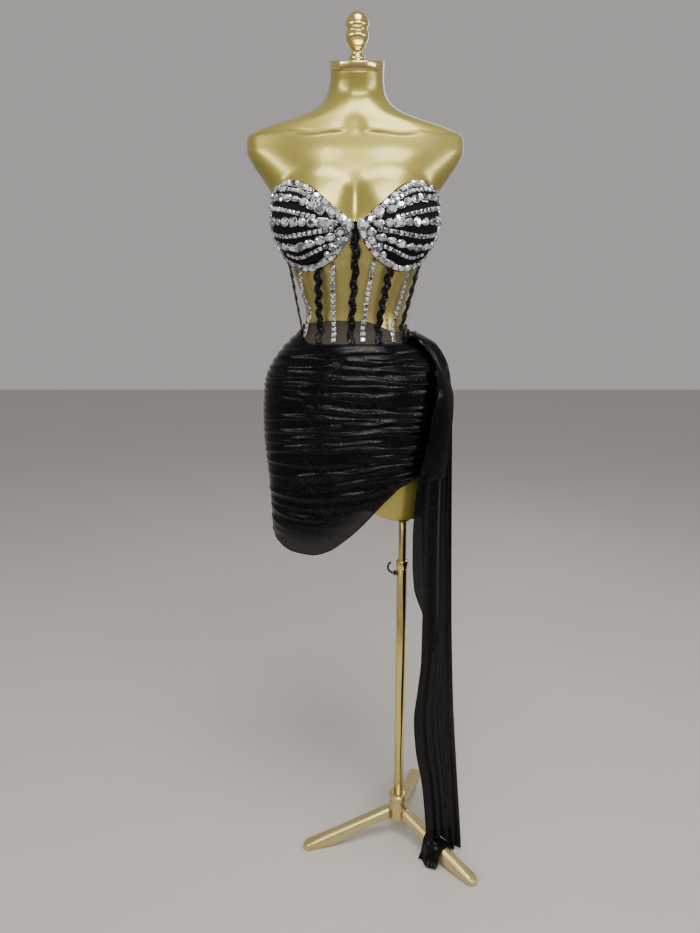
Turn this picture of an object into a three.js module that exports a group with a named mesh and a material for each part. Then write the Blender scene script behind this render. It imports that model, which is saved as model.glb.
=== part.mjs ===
// Two-piece stage costume: a crystal bustier and a ruched skirt with a side train,
// worn by a smooth limbless dress form on a telescopic pole with a tripod foot.
// Millimetres, +Z up, the front faces -Y, +X is the viewer's right.
// The origin is on the floor under the middle of the whole.
// The garment is laid out round the upright axis of the figure. A place on it is a turn,
// in degrees from the front towards +X, a height z, and a lift off the figure.
import * as THREE from 'three';

// Driving dimensions
const FIGURE_AXIS = { x: -26, y: 0.5 };
const POLE_AXIS = { x: 69.7, y: -26 };
const FORM = { bottom: 728, slim: 2, archTop: 800, wall: 4, sides: 36 };
const SEAM = 0.3;
const WALL = { mesh: 1.1, cup: 3, band: 1.1, skirt: 1.5, train: 2.4, bone: 2.2, chain: 3.2 };
const LIFT = { band: 1, mesh: 2.9, cup: 1.5, stones: 0.9, rim: 1.8 };

// Figure: half width, depth to the front and to the back, and how square each level is
const FIGURE = [
  { z: 600, half: 149, front: 84, back: 85, square: 2.4 },
  { z: 725, half: 155, front: 86, back: 90, square: 2.5 },
  { z: 780, half: 160, front: 91, back: 97, square: 2.5 },
  { z: 820, half: 163, front: 94, back: 103, square: 2.45 },
  { z: 860, half: 166, front: 97, back: 110, square: 2.4 },
  { z: 900, half: 167, front: 98, back: 115, square: 2.35 },
  { z: 940, half: 165, front: 98, back: 116, square: 2.3 },
  { z: 980, half: 157, front: 96, back: 112, square: 2.25 },
  { z: 1020, half: 139, front: 92, back: 103, square: 2.2 },
  { z: 1055, half: 116, front: 86, back: 90, square: 2.15 },
  { z: 1085, half: 99, front: 80, back: 78, square: 2.1 },
  { z: 1115, half: 95, front: 78, back: 72, square: 2.1 },
  { z: 1150, half: 103, front: 83, back: 73, square: 2.1 },
  { z: 1185, half: 116, front: 90, back: 78, square: 2.15 },
  { z: 1225, half: 129, front: 96, back: 85, square: 2.2 },
  { z: 1265, half: 136, front: 98, back: 90, square: 2.2 },
  { z: 1300, half: 143, front: 96, back: 92, square: 2.25 },
  { z: 1330, half: 156, front: 90, back: 90, square: 2.3 },
  { z: 1353, half: 171, front: 82, back: 86, square: 2.35 },
  { z: 1380, half: 189, front: 74, back: 78, square: 2.35 },
  { z: 1400, half: 197.5, front: 69, back: 72, square: 2.3 },
  { z: 1420, half: 197, front: 66, back: 68, square: 2.3 },
  { z: 1436, half: 179, front: 64, back: 67, square: 2.2 },
  { z: 1444, half: 152, front: 63, back: 66, square: 2.15 },
  { z: 1450, half: 122, front: 61, back: 64, square: 2.1 },
  { z: 1457, half: 96, front: 59, back: 61, square: 2.05 },
  { z: 1466, half: 76, front: 56, back: 57, square: 2 },
];
// Neck rings lean forward; the last one carries the cap. Underside: two rounded stumps with a
// soft arch between them, flat where the pole enters
const NECK = [
  { x: 0.5, y: 4, z: 1476, half: 62, deep: 54, tilt: 2 },
  { x: 1.5, y: 2, z: 1488, half: 53.5, deep: 50.5, tilt: 6 },
  { x: 2.5, y: -3, z: 1504, half: 48.5, deep: 48.5, tilt: 11 },
  { x: 3, y: -8, z: 1518, half: 47.2, deep: 47.2, tilt: 15 },
  { x: 3, y: -12, z: 1532, half: 47, deep: 47, tilt: 17.4 },
];
const UNDERSIDE = [
  { x: -160, z: 722 }, { x: -90, z: 713 }, { x: -40, z: 729 }, { x: 18, z: 752 }, { x: 58, z: 733 },
  { x: 76, z: 728 }, { x: 118, z: 728 }, { x: 160, z: 732 },
];
const BUST = { turn: 39, wide: 50, z: 1262, above: 98, below: 76, rise: 42 };

// Edges of the garment: height of each edge at a turn
const CUP_UNDER = [
  { turn: 0, z: 1262 }, { turn: 3, z: 1254 }, { turn: 4.5, z: 1245 }, { turn: 7.5, z: 1233 },
  { turn: 13.5, z: 1218 }, { turn: 21.5, z: 1204 }, { turn: 33.5, z: 1193 }, { turn: 44.5, z: 1188 },
  { turn: 57.5, z: 1192 }, { turn: 69, z: 1205 }, { turn: 75, z: 1225 }, { turn: 78, z: 1238 },
];
const CUP_OVER = [
  { turn: 79, z: 1262 }, { turn: 78.5, z: 1288 }, { turn: 75, z: 1309 }, { turn: 69, z: 1326 },
  { turn: 60, z: 1337 }, { turn: 50, z: 1338 }, { turn: 37, z: 1327 }, { turn: 26.5, z: 1310.5 },
  { turn: 17.5, z: 1293 }, { turn: 10, z: 1279 }, { turn: 3.5, z: 1267 },
];
const CORSET_TOP = [
  { turn: 0, z: 1247 }, { turn: 3, z: 1246 }, { turn: 4.5, z: 1241 }, { turn: 7.5, z: 1230 },
  { turn: 13.5, z: 1215 }, { turn: 21.5, z: 1201 }, { turn: 33.5, z: 1190.5 }, { turn: 44.5, z: 1186 },
  { turn: 57.5, z: 1189 }, { turn: 68, z: 1199 }, { turn: 75, z: 1216 }, { turn: 81, z: 1230 },
  { turn: 90, z: 1237 }, { turn: 135, z: 1233 }, { turn: 180, z: 1227 },
];
const CUP_REACH = 150;
const CUP_MIDDLE = { turn: 41, z: 1258 };

const WAIST = { front: 1058, side: 1085, from: 50, to: 85, bandFront: 1102, bandSide: 1095 };
const HEM = [
  { turn: -180, z: 706 }, { turn: -135, z: 699 }, { turn: -90, z: 704 }, { turn: -74, z: 679 },
  { turn: -60, z: 664 }, { turn: -45, z: 661 }, { turn: -30, z: 670 }, { turn: -12, z: 692 },
  { turn: 5, z: 716 }, { turn: 19, z: 741 }, { turn: 33, z: 772 }, { turn: 46, z: 800 },
  { turn: 65, z: 822 }, { turn: 90, z: 815 }, { turn: 135, z: 745 }, { turn: 180, z: 706 },
];

// Skirt ease: how far its outside stands off the figure at the front and at the side seams
const EASE = [
  { below: 0, front: 2.8, side: 6 },
  { below: 14, front: 6.5, side: 12 },
  { below: 40, front: 7, side: 20 },
  { below: 70, front: 6.5, side: 21 },
  { below: 97, front: 6, side: 18 },
  { below: 136, front: 6, side: 12 },
  { below: 215, front: 6, side: 9 },
  { below: 297, front: 6, side: 7.5 },
  { below: 380, front: 7, side: 10.5 },
  { below: 440, front: 8, side: 11 },
];

// Ruching folds of the skirt: heights at the left, the middle and the right of the front,
// the turns between which each one runs, its height and its half width
const FOLD_STATIONS = { left: -75, middle: -10, right: 55 };
const FOLDS = [
  { left: 1038, middle: 1046, right: 1050, from: -92, to: 76, high: 5, wide: 8 },
  { left: 1031, middle: 1031, right: 1026, from: -24, to: 92, high: 4, wide: 7 },
  { left: 1001, middle: 998, right: 989, from: -92, to: 92, high: 5, wide: 7 },
  { left: 972, middle: 967, right: 968, from: -56, to: 46, high: 4, wide: 7 },
  { left: 950, middle: 940, right: 931, from: -50, to: 92, high: 5, wide: 7 },
  { left: 920, middle: 932, right: 934, from: -92, to: -22, high: 4, wide: 6 },
  { left: 896, middle: 911, right: 924, from: -92, to: 48, high: 5, wide: 6 },
  { left: 877, middle: 893, right: 902, from: -92, to: 92, high: 5, wide: 7 },
  { left: 860, middle: 870, right: 867, from: -92, to: 92, high: 5, wide: 7 },
  { left: 846, middle: 850, right: 862, from: -14, to: 92, high: 3.5, wide: 6 },
  { left: 803, middle: 822, right: 839, from: -62, to: 92, high: 6, wide: 8 },
  { left: 790, middle: 802, right: 822, from: -34, to: 80, high: 4, wide: 6 },
  { left: 777, middle: 779, right: 808, from: -92, to: 70, high: 5.5, wide: 8 },
  { left: 741, middle: 735, right: 780, from: -92, to: -40, high: 6, wide: 8 },
  { left: 716, middle: 706, right: 760, from: -92, to: -58, high: 5, wide: 7 },
];
const FOLD_FADE = 14;
const BACK_FOLD_DROP = 22;
const GATHER = { high: 2.6, pitch: 25, reach: 13 };

// Stones on the cups: where each row starts, passes and ends, and how many stones it has
const LARGE_STONE = { wide: 10.5, high: 5, groove: 1.6 };
const SMALL_STONE = { wide: 5, high: 3 };
const RIM = { inset: 6, stones: 28 };
const LARGE_ROWS = [
  { from: [66, 1308], past: [42, 1300], to: [24, 1282], stones: 7 },
  { from: [71, 1274], past: [42, 1266], to: [13, 1263], stones: 9 },
  { from: [67, 1238], past: [42, 1228], to: [19, 1239], stones: 8 },
];
const SMALL_ROWS = [
  { from: [58, 1321], past: [43, 1314], to: [30, 1299] },
  { from: [70, 1294], past: [50, 1287], to: [33, 1279] },
  { from: [71, 1255], past: [44, 1247], to: [20, 1253] },
  { from: [62, 1219], past: [44, 1212], to: [25, 1222] },
];

// Bones and chains of the corset: turn under the cups and at the waist, lift off the mesh
const BONES = [
  { name: 'bone_centre', top: 0, low: -5, wide: 5, wall: 'bone', lift: 1.2 },
  { name: 'chain_front_left', top: -23, low: -25.6, wide: 6, wall: 'chain', lift: 1.5 },
  { name: 'chain_front_right', top: 18, low: 9, wide: 6, wall: 'chain', lift: 1.2 },
  { name: 'bone_front_left', top: -36.5, low: -43, wide: 6, wall: 'bone', lift: 0.6 },
  { name: 'bone_front_right', top: 34.6, low: 28, wide: 6, wall: 'bone', lift: 0.6 },
  { name: 'chain_side_left', top: -57, low: -63, wide: 6, wall: 'chain', lift: 1.2 },
  { name: 'chain_side_right', top: 55, low: 45, wide: 6, wall: 'chain', lift: 0.6 },
  { name: 'bone_side_left', top: -74, low: -79, wide: 6, wall: 'bone', lift: 1.2 },
  { name: 'bone_side_right', top: 70, low: 60, wide: 6, wall: 'bone', lift: 1.2 },
  { name: 'bone_back_left', top: -135, low: -137, wide: 6, wall: 'bone', lift: 0.1 },
  { name: 'bone_back_right', top: 135, low: 137, wide: 6, wall: 'bone', lift: 0.1 },
];
const BONE_RADIUS = 95;
const CLOSURE = { halfTurn: 5.5, wall: 2, gap: 0.5, lift: 0.5 };

// Train: the edge nearest the front and the outer edge at each level, in figure places,
// how far it bows away between them and how deep its folds are
const TRAIN = [
  { z: 1084, inX: 98, inY: -52, outX: 112, outY: 14, bow: 5, deep: 1 },
  { z: 1056, inX: 133, inY: -50, outX: 153, outY: 20, bow: 9, deep: 3 },
  { z: 1012, inX: 150, inY: -58, outX: 176, outY: 18, bow: 10, deep: 4.5 },
  { z: 986, inX: 149, inY: -70, outX: 181, outY: 14, bow: 10, deep: 5 },
  { z: 945, inX: 144, inY: -78, outX: 184, outY: 8, bow: 11, deep: 5.5 },
  { z: 904, inX: 139, inY: -82, outX: 186, outY: 4, bow: 11, deep: 5.5 },
  { z: 850, inX: 134, inY: -84, outX: 188, outY: -2, bow: 10, deep: 5.5 },
  { z: 790, inX: 131, inY: -84, outX: 190, outY: -8, bow: 8, deep: 5.5 },
  { z: 700, inX: 132, inY: -83, outX: 193, outY: -14, bow: 5, deep: 5.5 },
  { z: 567, inX: 137, inY: -82, outX: 197, outY: -22, bow: 2, deep: 5.5 },
  { z: 442, inX: 136, inY: -84, outX: 202, outY: -31, bow: 0, deep: 5.5 },
  { z: 374, inX: 130, inY: -86, outX: 206, outY: -35, bow: 0, deep: 5.5 },
  { z: 310, inX: 123, inY: -90, outX: 209, outY: -40, bow: 0, deep: 5.5 },
  { z: 247, inX: 127, inY: -94, outX: 213, outY: -46, bow: 0, deep: 5.5 },
  { z: 162, inX: 142, inY: -100, outX: 219, outY: -55, bow: 0, deep: 5.5 },
  { z: 60, inX: 151, inY: -110, outX: 226, outY: -70, bow: 0, deep: 5.5 },
  { z: 0, inX: 154, inY: -113, outX: 230, outY: -76, bow: 0, deep: 5.5 },
];
const TRAIN_LONG = { folds: 5, top: 1082, hem: 8, overEnd: 6, clear: 5.8 };
const TRAIN_END = { from: 86, to: 132, clear: 0.6, wall: 1.8, floor: 3, waver: 0.12, spread: 1.12 };
const SADDLE = [
  { across: 0, rise: 1 }, { across: 8, rise: 1 }, { across: 17.5, rise: 0.82 }, { across: 25, rise: 0.3 },
  { across: 33, rise: 0 },
];
const FLAP = [
  { z: 1000, inX: 142, inY: -70, outX: 158, outY: -44, bow: 2, deep: 0.5 },
  { z: 945, inX: 133, inY: -84, outX: 162, outY: -46, bow: 3, deep: 1.5 },
  { z: 904, inX: 125, inY: -88, outX: 161, outY: -50, bow: 3, deep: 2 },
  { z: 850, inX: 115, inY: -91, outX: 160, outY: -54, bow: 3, deep: 2.5 },
  { z: 790, inX: 108, inY: -93, outX: 159, outY: -57, bow: 3, deep: 3 },
  { z: 700, inX: 104, inY: -92, outX: 160, outY: -58, bow: 2, deep: 3 },
  { z: 567, inX: 107, inY: -92, outX: 163, outY: -60, bow: 0, deep: 3 },
  { z: 440, inX: 114, inY: -93, outX: 168, outY: -64, bow: 0, deep: 3 },
];
const FLAP_SHEET = { folds: 2, top: 996, offset: 12.9 };
const FLAP_HEM = [{ t: 0, z: 592 }, { t: 0.3, z: 540 }, { t: 0.65, z: 462 }, { t: 1, z: 545 }];

// Stand
const TUBE = { upper: 8, bore: 8.4, lower: 10.4, upperFrom: 410, lowerTop: 622, sides: 18 };
const COLLAR = { inner: 10.7, outer: 12.6, from: 612, to: 630 };
const SOCKET = { inner: 8.3, outer: 13.5, height: 14 };
const LOCK = { z: 603, rod: 2.1, bore: 2.6, boss: 5, bossFrom: 10.8, bossTo: 17 };
const HUB_TOP = 97;
const HUB = [
  [0, 34], [15, 34], [21, 40], [21, 70], [16, 77], [16, 81], [20, 82.5], [20, 94],
  [14, HUB_TOP], [0, HUB_TOP],
];
const LEG = {
  turns: [74, 194, 314], from: 21.4, reach: 211, half: 13, top: 68, tip: 13, footFrom: 168, arch: 42,
};
const CAP = [[0, 0.3], [46, 0.3], [47.6, 2], [47.6, 13.3], [46, 15], [0, 15]];
const FINIAL_FOOT = 15.3;
const FINIAL = [
  [0, 0], [12, 0], [13, 2.5], [13, 7.5], [10.2, 11], [9.8, 18], [13.5, 19.8], [15, 24], [18.4, 30],
  [20.4, 37], [19, 42.5], [17.6, 46], [17.9, 50.5], [20.4, 52.7], [19.6, 57.5], [16.9, 63.5],
  [12.3, 68.8], [6, 72.4], [0, 73.4],
];

// Curve work
const radians = THREE.MathUtils.degToRad;
const degrees = THREE.MathUtils.radToDeg;
const { clamp, smoothstep, lerp } = THREE.MathUtils;

// A smooth value between the rows of a table, without overshoot
function along(table, key, column, at) {
  const last = table.length - 1;
  if (at <= table[0][key]) return table[0][column];
  if (at >= table[last][key]) return table[last][column];
  let i = 0;
  while (table[i + 1][key] <= at) i += 1;
  const span = (j) => table[j + 1][key] - table[j][key];
  const rise = (j) => (table[j + 1][column] - table[j][column]) / span(j);
  const slope = (j) => {
    if (j === 0) return rise(0);
    if (j === last) return rise(last - 1);
    const turnsBack = rise(j - 1) * rise(j) <= 0;
    return turnsBack ? 0 : (2 * rise(j - 1) * rise(j)) / (rise(j - 1) + rise(j));
  };
  const t = (at - table[i][key]) / span(i);
  const value = lerp(table[i][column], table[i + 1][column], t * t * (3 - 2 * t));
  return value + span(i) * (slope(i) * (t ** 3 - 2 * t * t + t) + slope(i + 1) * (t ** 3 - t * t));
}

const upwards = (table) => [...table].sort((a, b) => a.z - b.z);
const TRAIN_LEVELS = upwards(TRAIN);
const FLAP_LEVELS = upwards(FLAP);

function bustRise(turn, z) {
  const upright = (z - BUST.z) / (z > BUST.z ? BUST.above : BUST.below);
  return [-BUST.turn, BUST.turn].reduce((sum, middle) => {
    const far = ((turn - middle) / BUST.wide) ** 2 + upright ** 2;
    return far < 1 ? sum + BUST.rise * (1 - far) ** 1.5 : sum;
  }, 0);
}

function figureRadius(turn, z) {
  const sine = Math.abs(Math.sin(radians(turn)));
  const cosine = Math.cos(radians(turn));
  const square = along(FIGURE, 'z', 'square', z);
  const half = along(FIGURE, 'z', 'half', z);
  const deep = along(FIGURE, 'z', cosine > 0 ? 'front' : 'back', z);
  const oval = ((sine / half) ** square + (Math.abs(cosine) / deep) ** square) ** (-1 / square);
  return oval + bustRise(turn, z);
}

function place(turn, z, radius) {
  return new THREE.Vector3(radius * Math.sin(radians(turn)), -radius * Math.cos(radians(turn)), z);
}

const sided = (turn) => Math.abs(turn);
const waistSeam = (turn) => {
  return WAIST.front + (WAIST.side - WAIST.front) * smoothstep(sided(turn), WAIST.from, WAIST.to);
};
const bandTop = (turn) => {
  return WAIST.bandFront + (WAIST.bandSide - WAIST.bandFront) * smoothstep(sided(turn), 30, 80);
};
const corsetTop = (turn) => along(CORSET_TOP, 'turn', 'z', sided(turn));
const corsetLow = (turn) => waistSeam(turn) + 4;

// The corset bridges the hollow of the waist between the ribs and the waistband
const BRIDGE = { top: 1195, low: 1090, blend: 20 };
const bridgePart = (z) => clamp((z - BRIDGE.low) / (BRIDGE.top - BRIDGE.low), 0, 1);
function corsetInside(turn, z) {
  const above = clamp((z - BRIDGE.top) / BRIDGE.blend, 0, 1);
  const close = figureRadius(turn, z) + lerp(LIFT.mesh, LIFT.cup, above);
  if (z > BRIDGE.top || z < BRIDGE.low) return close;
  const t = bridgePart(z);
  const top = figureRadius(turn, BRIDGE.top) + LIFT.mesh;
  const low = figureRadius(turn, BRIDGE.low) + LIFT.mesh;
  return Math.max(close, lerp(low, top, t));
}

// Skirt surface
function foldLevel(fold, turn) {
  const { left, middle, right } = FOLD_STATIONS;
  return fold.left * ((turn - middle) * (turn - right)) / ((left - middle) * (left - right))
    + fold.middle * ((turn - left) * (turn - right)) / ((middle - left) * (middle - right))
    + fold.right * ((turn - left) * (turn - middle)) / ((right - left) * (right - middle));
}

function foldRise(turn, z) {
  const behind = Math.max(0, sided(turn) - 90);
  const frontTurn = behind > 0 ? Math.sign(turn) * (90 - behind) : turn;
  const level = z + BACK_FOLD_DROP * (behind / 90);
  let rise = 0;
  for (const fold of FOLDS) {
    const here = smoothstep(frontTurn, fold.from, fold.from + FOLD_FADE)
      * (1 - smoothstep(frontTurn, fold.to - FOLD_FADE, fold.to));
    const offset = (level - foldLevel(fold, frontTurn)) / fold.wide;
    rise = Math.max(rise, fold.high * here * Math.exp(-offset * offset));
  }
  const toSeam = Math.abs(90 - sided(turn)) / GATHER.reach;
  const gather = GATHER.high * Math.exp(-toSeam) * (1 + Math.sin((2 * Math.PI * z) / GATHER.pitch));
  return Math.max(rise, gather);
}

function skirtOutside(turn, z) {
  const below = waistSeam(turn) - z;
  const sidewise = Math.abs(Math.sin(radians(turn))) ** 3;
  const ease = lerp(along(EASE, 'below', 'front', below), along(EASE, 'below', 'side', below), sidewise);
  const settle = smoothstep(below, 0, 16);
  return figureRadius(turn, z) + ease + settle * foldRise(turn, z);
}

// Solid work
function solid(points, faces) {
  const edge = new THREE.Vector3();
  const volume = faces.reduce((sum, [a, b, c]) => {
    return sum + points[a].dot(edge.crossVectors(points[b], points[c]));
  }, 0);
  const outward = volume < 0 ? faces.map(([a, b, c]) => [a, c, b]) : faces;
  const geometry = new THREE.BufferGeometry();
  geometry.setAttribute('position', new THREE.Float32BufferAttribute(points.flatMap((p) => p.toArray()), 3));
  geometry.setIndex(outward.flat());
  geometry.computeVertexNormals();
  return geometry;
}

const steps = (count, from = 0, to = 1) => {
  return Array.from({ length: count + 1 }, (_, i) => lerp(from, to, i / count));
};

// A wall between two sheets of points; us and vs are the stations across and along it
function wall({ us, vs, outer, inner, closed = false }) {
  const points = [outer, inner].flatMap((sheet) => vs.flatMap((v) => us.map((u) => sheet(u, v))));
  const across = us.length;
  const up = vs.length;
  const at = (sheet, i, j) => (sheet * up + j) * across + (i % across);
  const faces = [];
  const quad = (a, b, c, d) => faces.push([a, b, c], [a, c, d]);
  const turns = closed ? across : across - 1;
  for (let i = 0; i < turns; i += 1) {
    for (let j = 0; j < up - 1; j += 1) {
      quad(at(0, i, j), at(0, i + 1, j), at(0, i + 1, j + 1), at(0, i, j + 1));
      quad(at(1, i, j), at(1, i, j + 1), at(1, i + 1, j + 1), at(1, i + 1, j));
    }
    quad(at(0, i + 1, 0), at(0, i, 0), at(1, i, 0), at(1, i + 1, 0));
    quad(at(0, i, up - 1), at(0, i + 1, up - 1), at(1, i + 1, up - 1), at(1, i, up - 1));
  }
  for (let j = 0; !closed && j < up - 1; j += 1) {
    quad(at(0, 0, j), at(0, 0, j + 1), at(1, 0, j + 1), at(1, 0, j));
    quad(at(0, across - 1, j + 1), at(0, across - 1, j), at(1, across - 1, j), at(1, across - 1, j + 1));
  }
  return solid(points, faces);
}

// A body through rings of points, closed by a fan at each end; a ring may have half the points of
// the one before it
function loft(rings) {
  const centre = (ring) => ring.reduce((sum, p) => sum.add(p), new THREE.Vector3()).divideScalar(ring.length);
  const last = rings[rings.length - 1];
  const points = [...rings.flat(), centre(rings[0]), centre(last)];
  const [first, top] = [points.length - 2, points.length - 2 - last.length];
  const faces = [];
  let start = 0;
  for (let j = 0; j < rings.length - 1; j += 1) {
    const count = rings[j].length;
    const share = rings[j + 1].length / count;
    const here = (i) => start + (i % count);
    const above = (i) => start + count + (Math.floor(i * share) % rings[j + 1].length);
    for (let i = 0; i < count; i += 1) {
      faces.push([here(i), here(i + 1), above(i + 1)]);
      if (above(i) !== above(i + 1)) faces.push([here(i), above(i + 1), above(i)]);
    }
    start += count;
  }
  for (let i = 0; i < rings[0].length; i += 1) faces.push([(i + 1) % rings[0].length, i, first]);
  for (let i = 0; i < last.length; i += 1) faces.push([top + i, top + ((i + 1) % last.length), first + 1]);
  return solid(points, faces);
}

// A shallow dish between two surfaces, round a middle point
function dish({ spokes, rings, outer, inner }) {
  const points = [outer(0, 0), inner(0, 0)];
  for (const sheet of [outer, inner]) {
    for (const t of steps(rings - 1, 1 / rings, 1)) {
      for (let s = 0; s < spokes; s += 1) points.push(sheet(s / spokes, t));
    }
  }
  const at = (sheet, ring, s) => 2 + (sheet * rings + ring) * spokes + (s % spokes);
  const faces = [];
  const quad = (a, b, c, d) => faces.push([a, b, c], [a, c, d]);
  for (let s = 0; s < spokes; s += 1) {
    faces.push([0, at(0, 0, s), at(0, 0, s + 1)], [1, at(1, 0, s + 1), at(1, 0, s)]);
    for (let r = 0; r < rings - 1; r += 1) {
      quad(at(0, r, s), at(0, r + 1, s), at(0, r + 1, s + 1), at(0, r, s + 1));
      quad(at(1, r, s), at(1, r, s + 1), at(1, r + 1, s + 1), at(1, r + 1, s));
    }
    quad(at(0, rings - 1, s), at(1, rings - 1, s), at(1, rings - 1, s + 1), at(0, rings - 1, s + 1));
  }
  return solid(points, faces);
}

const turned = (profile, lift = 0, sides = TUBE.sides) => {
  const outline = profile.map(([radius, z]) => new THREE.Vector2(radius, z + lift));
  return new THREE.LatheGeometry(outline, sides).rotateX(Math.PI / 2);
};

const ring = (inner, outer, from, to) => {
  return turned([[inner, from], [outer, from], [outer, to], [inner, to], [inner, from]]);
};

// Finishes
const finish = (color, roughness, metalness, opacity = 1) => {
  return new THREE.MeshStandardMaterial({ color, roughness, metalness, opacity, transparent: opacity < 1 });
};
const LACQUER = finish(0x9c8540, 0.28, 0.55);
const BRASS = finish(0xc9a64a, 0.18, 0.95);
const SATIN_GOLD = finish(0xbfa35a, 0.32, 0.85);
const DARK_METAL = finish(0x2a2622, 0.4, 0.8);
const BLACK_CLOTH = finish(0x060606, 0.6, 0);
const GLITTER_CLOTH = finish(0x0b0b0c, 0.38, 0.05);
const SHEER_BLACK = finish(0x141414, 0.7, 0, 0.6);
const NUDE_MESH = finish(0xb9a489, 0.7, 0, 0.35);
const CRYSTAL = finish(0xe4e7ec, 0.08, 0.35);

const costume = new THREE.Group();
const figure = new THREE.Group();
const stand = new THREE.Group();
figure.position.set(FIGURE_AXIS.x, FIGURE_AXIS.y, 0);
stand.position.set(POLE_AXIS.x, POLE_AXIS.y, 0);
costume.add(figure, stand);

function piece(group, name, geometry, material) {
  const mesh = new THREE.Mesh(geometry, material);
  mesh.name = name;
  group.add(mesh);
  return mesh;
}

// Dress form: one hollow smooth body, open under the cap, with a brass cap on the leaning neck and
// a turned finial. Each ring of its inside has half as many points.
const formAngles = steps(FORM.sides - 1, 0, 360 - 360 / FORM.sides);
const hollowAngles = formAngles.filter((_, i) => i % 2 === 0);
const underside = (x) => along(UNDERSIDE, 'x', 'z', x);

function formRing({ z, scale = 1, inset = FORM.slim, lift = 0, angles = formAngles }) {
  const stretch = along(FIGURE, 'z', 'half', z) / along(FIGURE, 'z', 'front', z);
  return angles.map((angle) => {
    const turn = degrees(Math.atan2(stretch * Math.sin(radians(angle)), Math.cos(radians(angle))));
    const point = place(turn, z, (figureRadius(turn, z) - inset) * scale);
    const raised = clamp((FORM.archTop - z) / (FORM.archTop - FORM.bottom), 0, 1);
    point.z = lerp(z, underside(point.x), raised) + lift;
    return point;
  });
}

function neckRing({ x, y, z, half, deep, tilt }, inset = 0, angles = formAngles) {
  const lean = new THREE.Euler(radians(tilt), 0, 0);
  const middle = new THREE.Vector3(x, y, z);
  return angles.map((angle) => {
    const [across, ahead] = [(half - inset) * Math.sin(radians(angle)), (inset - deep) * Math.cos(radians(angle))];
    return new THREE.Vector3(across, ahead, 0).applyEuler(lean).add(middle);
  });
}
const formLevels = [
  FORM.bottom, FORM.archTop, 900, 950, 985, 1020, 1045, 1065, 1085, 1105, 1130, 1160, 1185, 1205,
  1225, 1245, 1265, 1288, 1312, 1338, 1360, 1385, 1405, 1422, 1436, 1444, 1460, 1466,
];
const hollowLevels = [
  { z: 1466, scale: 0.58 }, { z: 1436, lift: -5 },
  ...[1405, 1360, 1338, 1312, 1265, 1225, 1205, 1185, 1130, 1085, 1045, 985, FORM.archTop].map((z) => ({ z })),
  { z: FORM.bottom, lift: 14 }, { z: FORM.bottom, lift: 30, scale: 0.5 },
];
const undersideScales = [0.25, 0.5, 0.75];
const hollowInset = FORM.slim + FORM.wall;
piece(figure, 'form_torso', loft([
  ...undersideScales.map((scale) => formRing({ z: FORM.bottom, scale })),
  ...formLevels.map((z) => formRing({ z })),
  ...NECK.map((row) => neckRing(row)),
  neckRing(NECK[NECK.length - 1], hollowInset, hollowAngles),
  ...hollowLevels.map((level) => formRing({ ...level, inset: hollowInset, angles: hollowAngles })),
]), LACQUER);
const neckTop = NECK[NECK.length - 1];
const neck = new THREE.Group();
neck.position.set(neckTop.x, neckTop.y, neckTop.z);
neck.rotation.x = radians(neckTop.tilt);
figure.add(neck);
piece(neck, 'form_neck_cap', turned(CAP, 0, 20), BRASS);
piece(neck, 'form_finial', turned(FINIAL, FINIAL_FOOT, 12), BRASS);

// Cups: black padded shells, mirrored, each with a rim of large stones and seven rows in a fan
const cupPoint = (turn, z) => new THREE.Vector3(radians(turn) * CUP_REACH, z, 0);
const cupCurve = new THREE.CatmullRomCurve3(
  [...CUP_UNDER.slice(1), ...CUP_OVER].map((edge) => cupPoint(edge.turn, edge.z)), true, 'centripetal');
const cupTurn = (point) => degrees(point.x / CUP_REACH);
const CUP_OUTSIDE = LIFT.cup + WALL.cup;

function cupDish(side) {
  const middle = cupPoint(CUP_MIDDLE.turn, CUP_MIDDLE.z);
  const sheet = (lift) => (s, t) => {
    const point = middle.clone().lerp(cupCurve.getPointAt(s), t);
    return place(side * cupTurn(point), point.y, figureRadius(cupTurn(point), point.y) + lift);
  };
  return dish({ spokes: 32, rings: 4, outer: sheet(CUP_OUTSIDE), inner: sheet(LIFT.cup) });
}

// A strip on a surface along a curve; stones rise from it one after another
function strip(side, curve, wide, tall, stations, lift = LIFT.stones, closed = false) {
  const edge = (across, lift) => {
    const point = curve.getPointAt(across.at);
    const tangent = curve.getTangentAt(across.at);
    point.x += -tangent.y * across.off;
    point.y += tangent.x * across.off;
    return place(side * cupTurn(point), point.y, figureRadius(cupTurn(point), point.y) + lift);
  };
  const base = CUP_OUTSIDE + lift;
  return wall({
    us: stations,
    vs: [-wide / 2, wide / 2],
    outer: (station, off) => edge({ at: station.at, off: off * station.narrow }, base + tall * station.high),
    inner: (station, off) => edge({ at: station.at, off }, base),
    closed,
  });
}

function stoneStations(count, closed) {
  const low = LARGE_STONE.groove / LARGE_STONE.high;
  const stations = steps(count - 1, 0, (count - 1) / count).flatMap((start) => [
    { at: start, high: low, narrow: 0.9 },
    { at: start + 0.22 / count, high: 1, narrow: 0.72 },
    { at: start + 0.78 / count, high: 1, narrow: 0.72 },
  ]);
  return closed ? stations : [...stations, { at: 1, high: low, narrow: 0.9 }];
}

const rowCurve = ({ from, past, to }) => {
  return new THREE.CatmullRomCurve3([cupPoint(...from), cupPoint(...past), cupPoint(...to)]);
};
const rimCurve = new THREE.CatmullRomCurve3(steps(47, 0, 47 / 48).map((s) => {
  const tangent = cupCurve.getTangentAt(s);
  return cupCurve.getPointAt(s).add(new THREE.Vector3(-tangent.y, tangent.x, 0).multiplyScalar(RIM.inset));
}), true);

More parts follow.
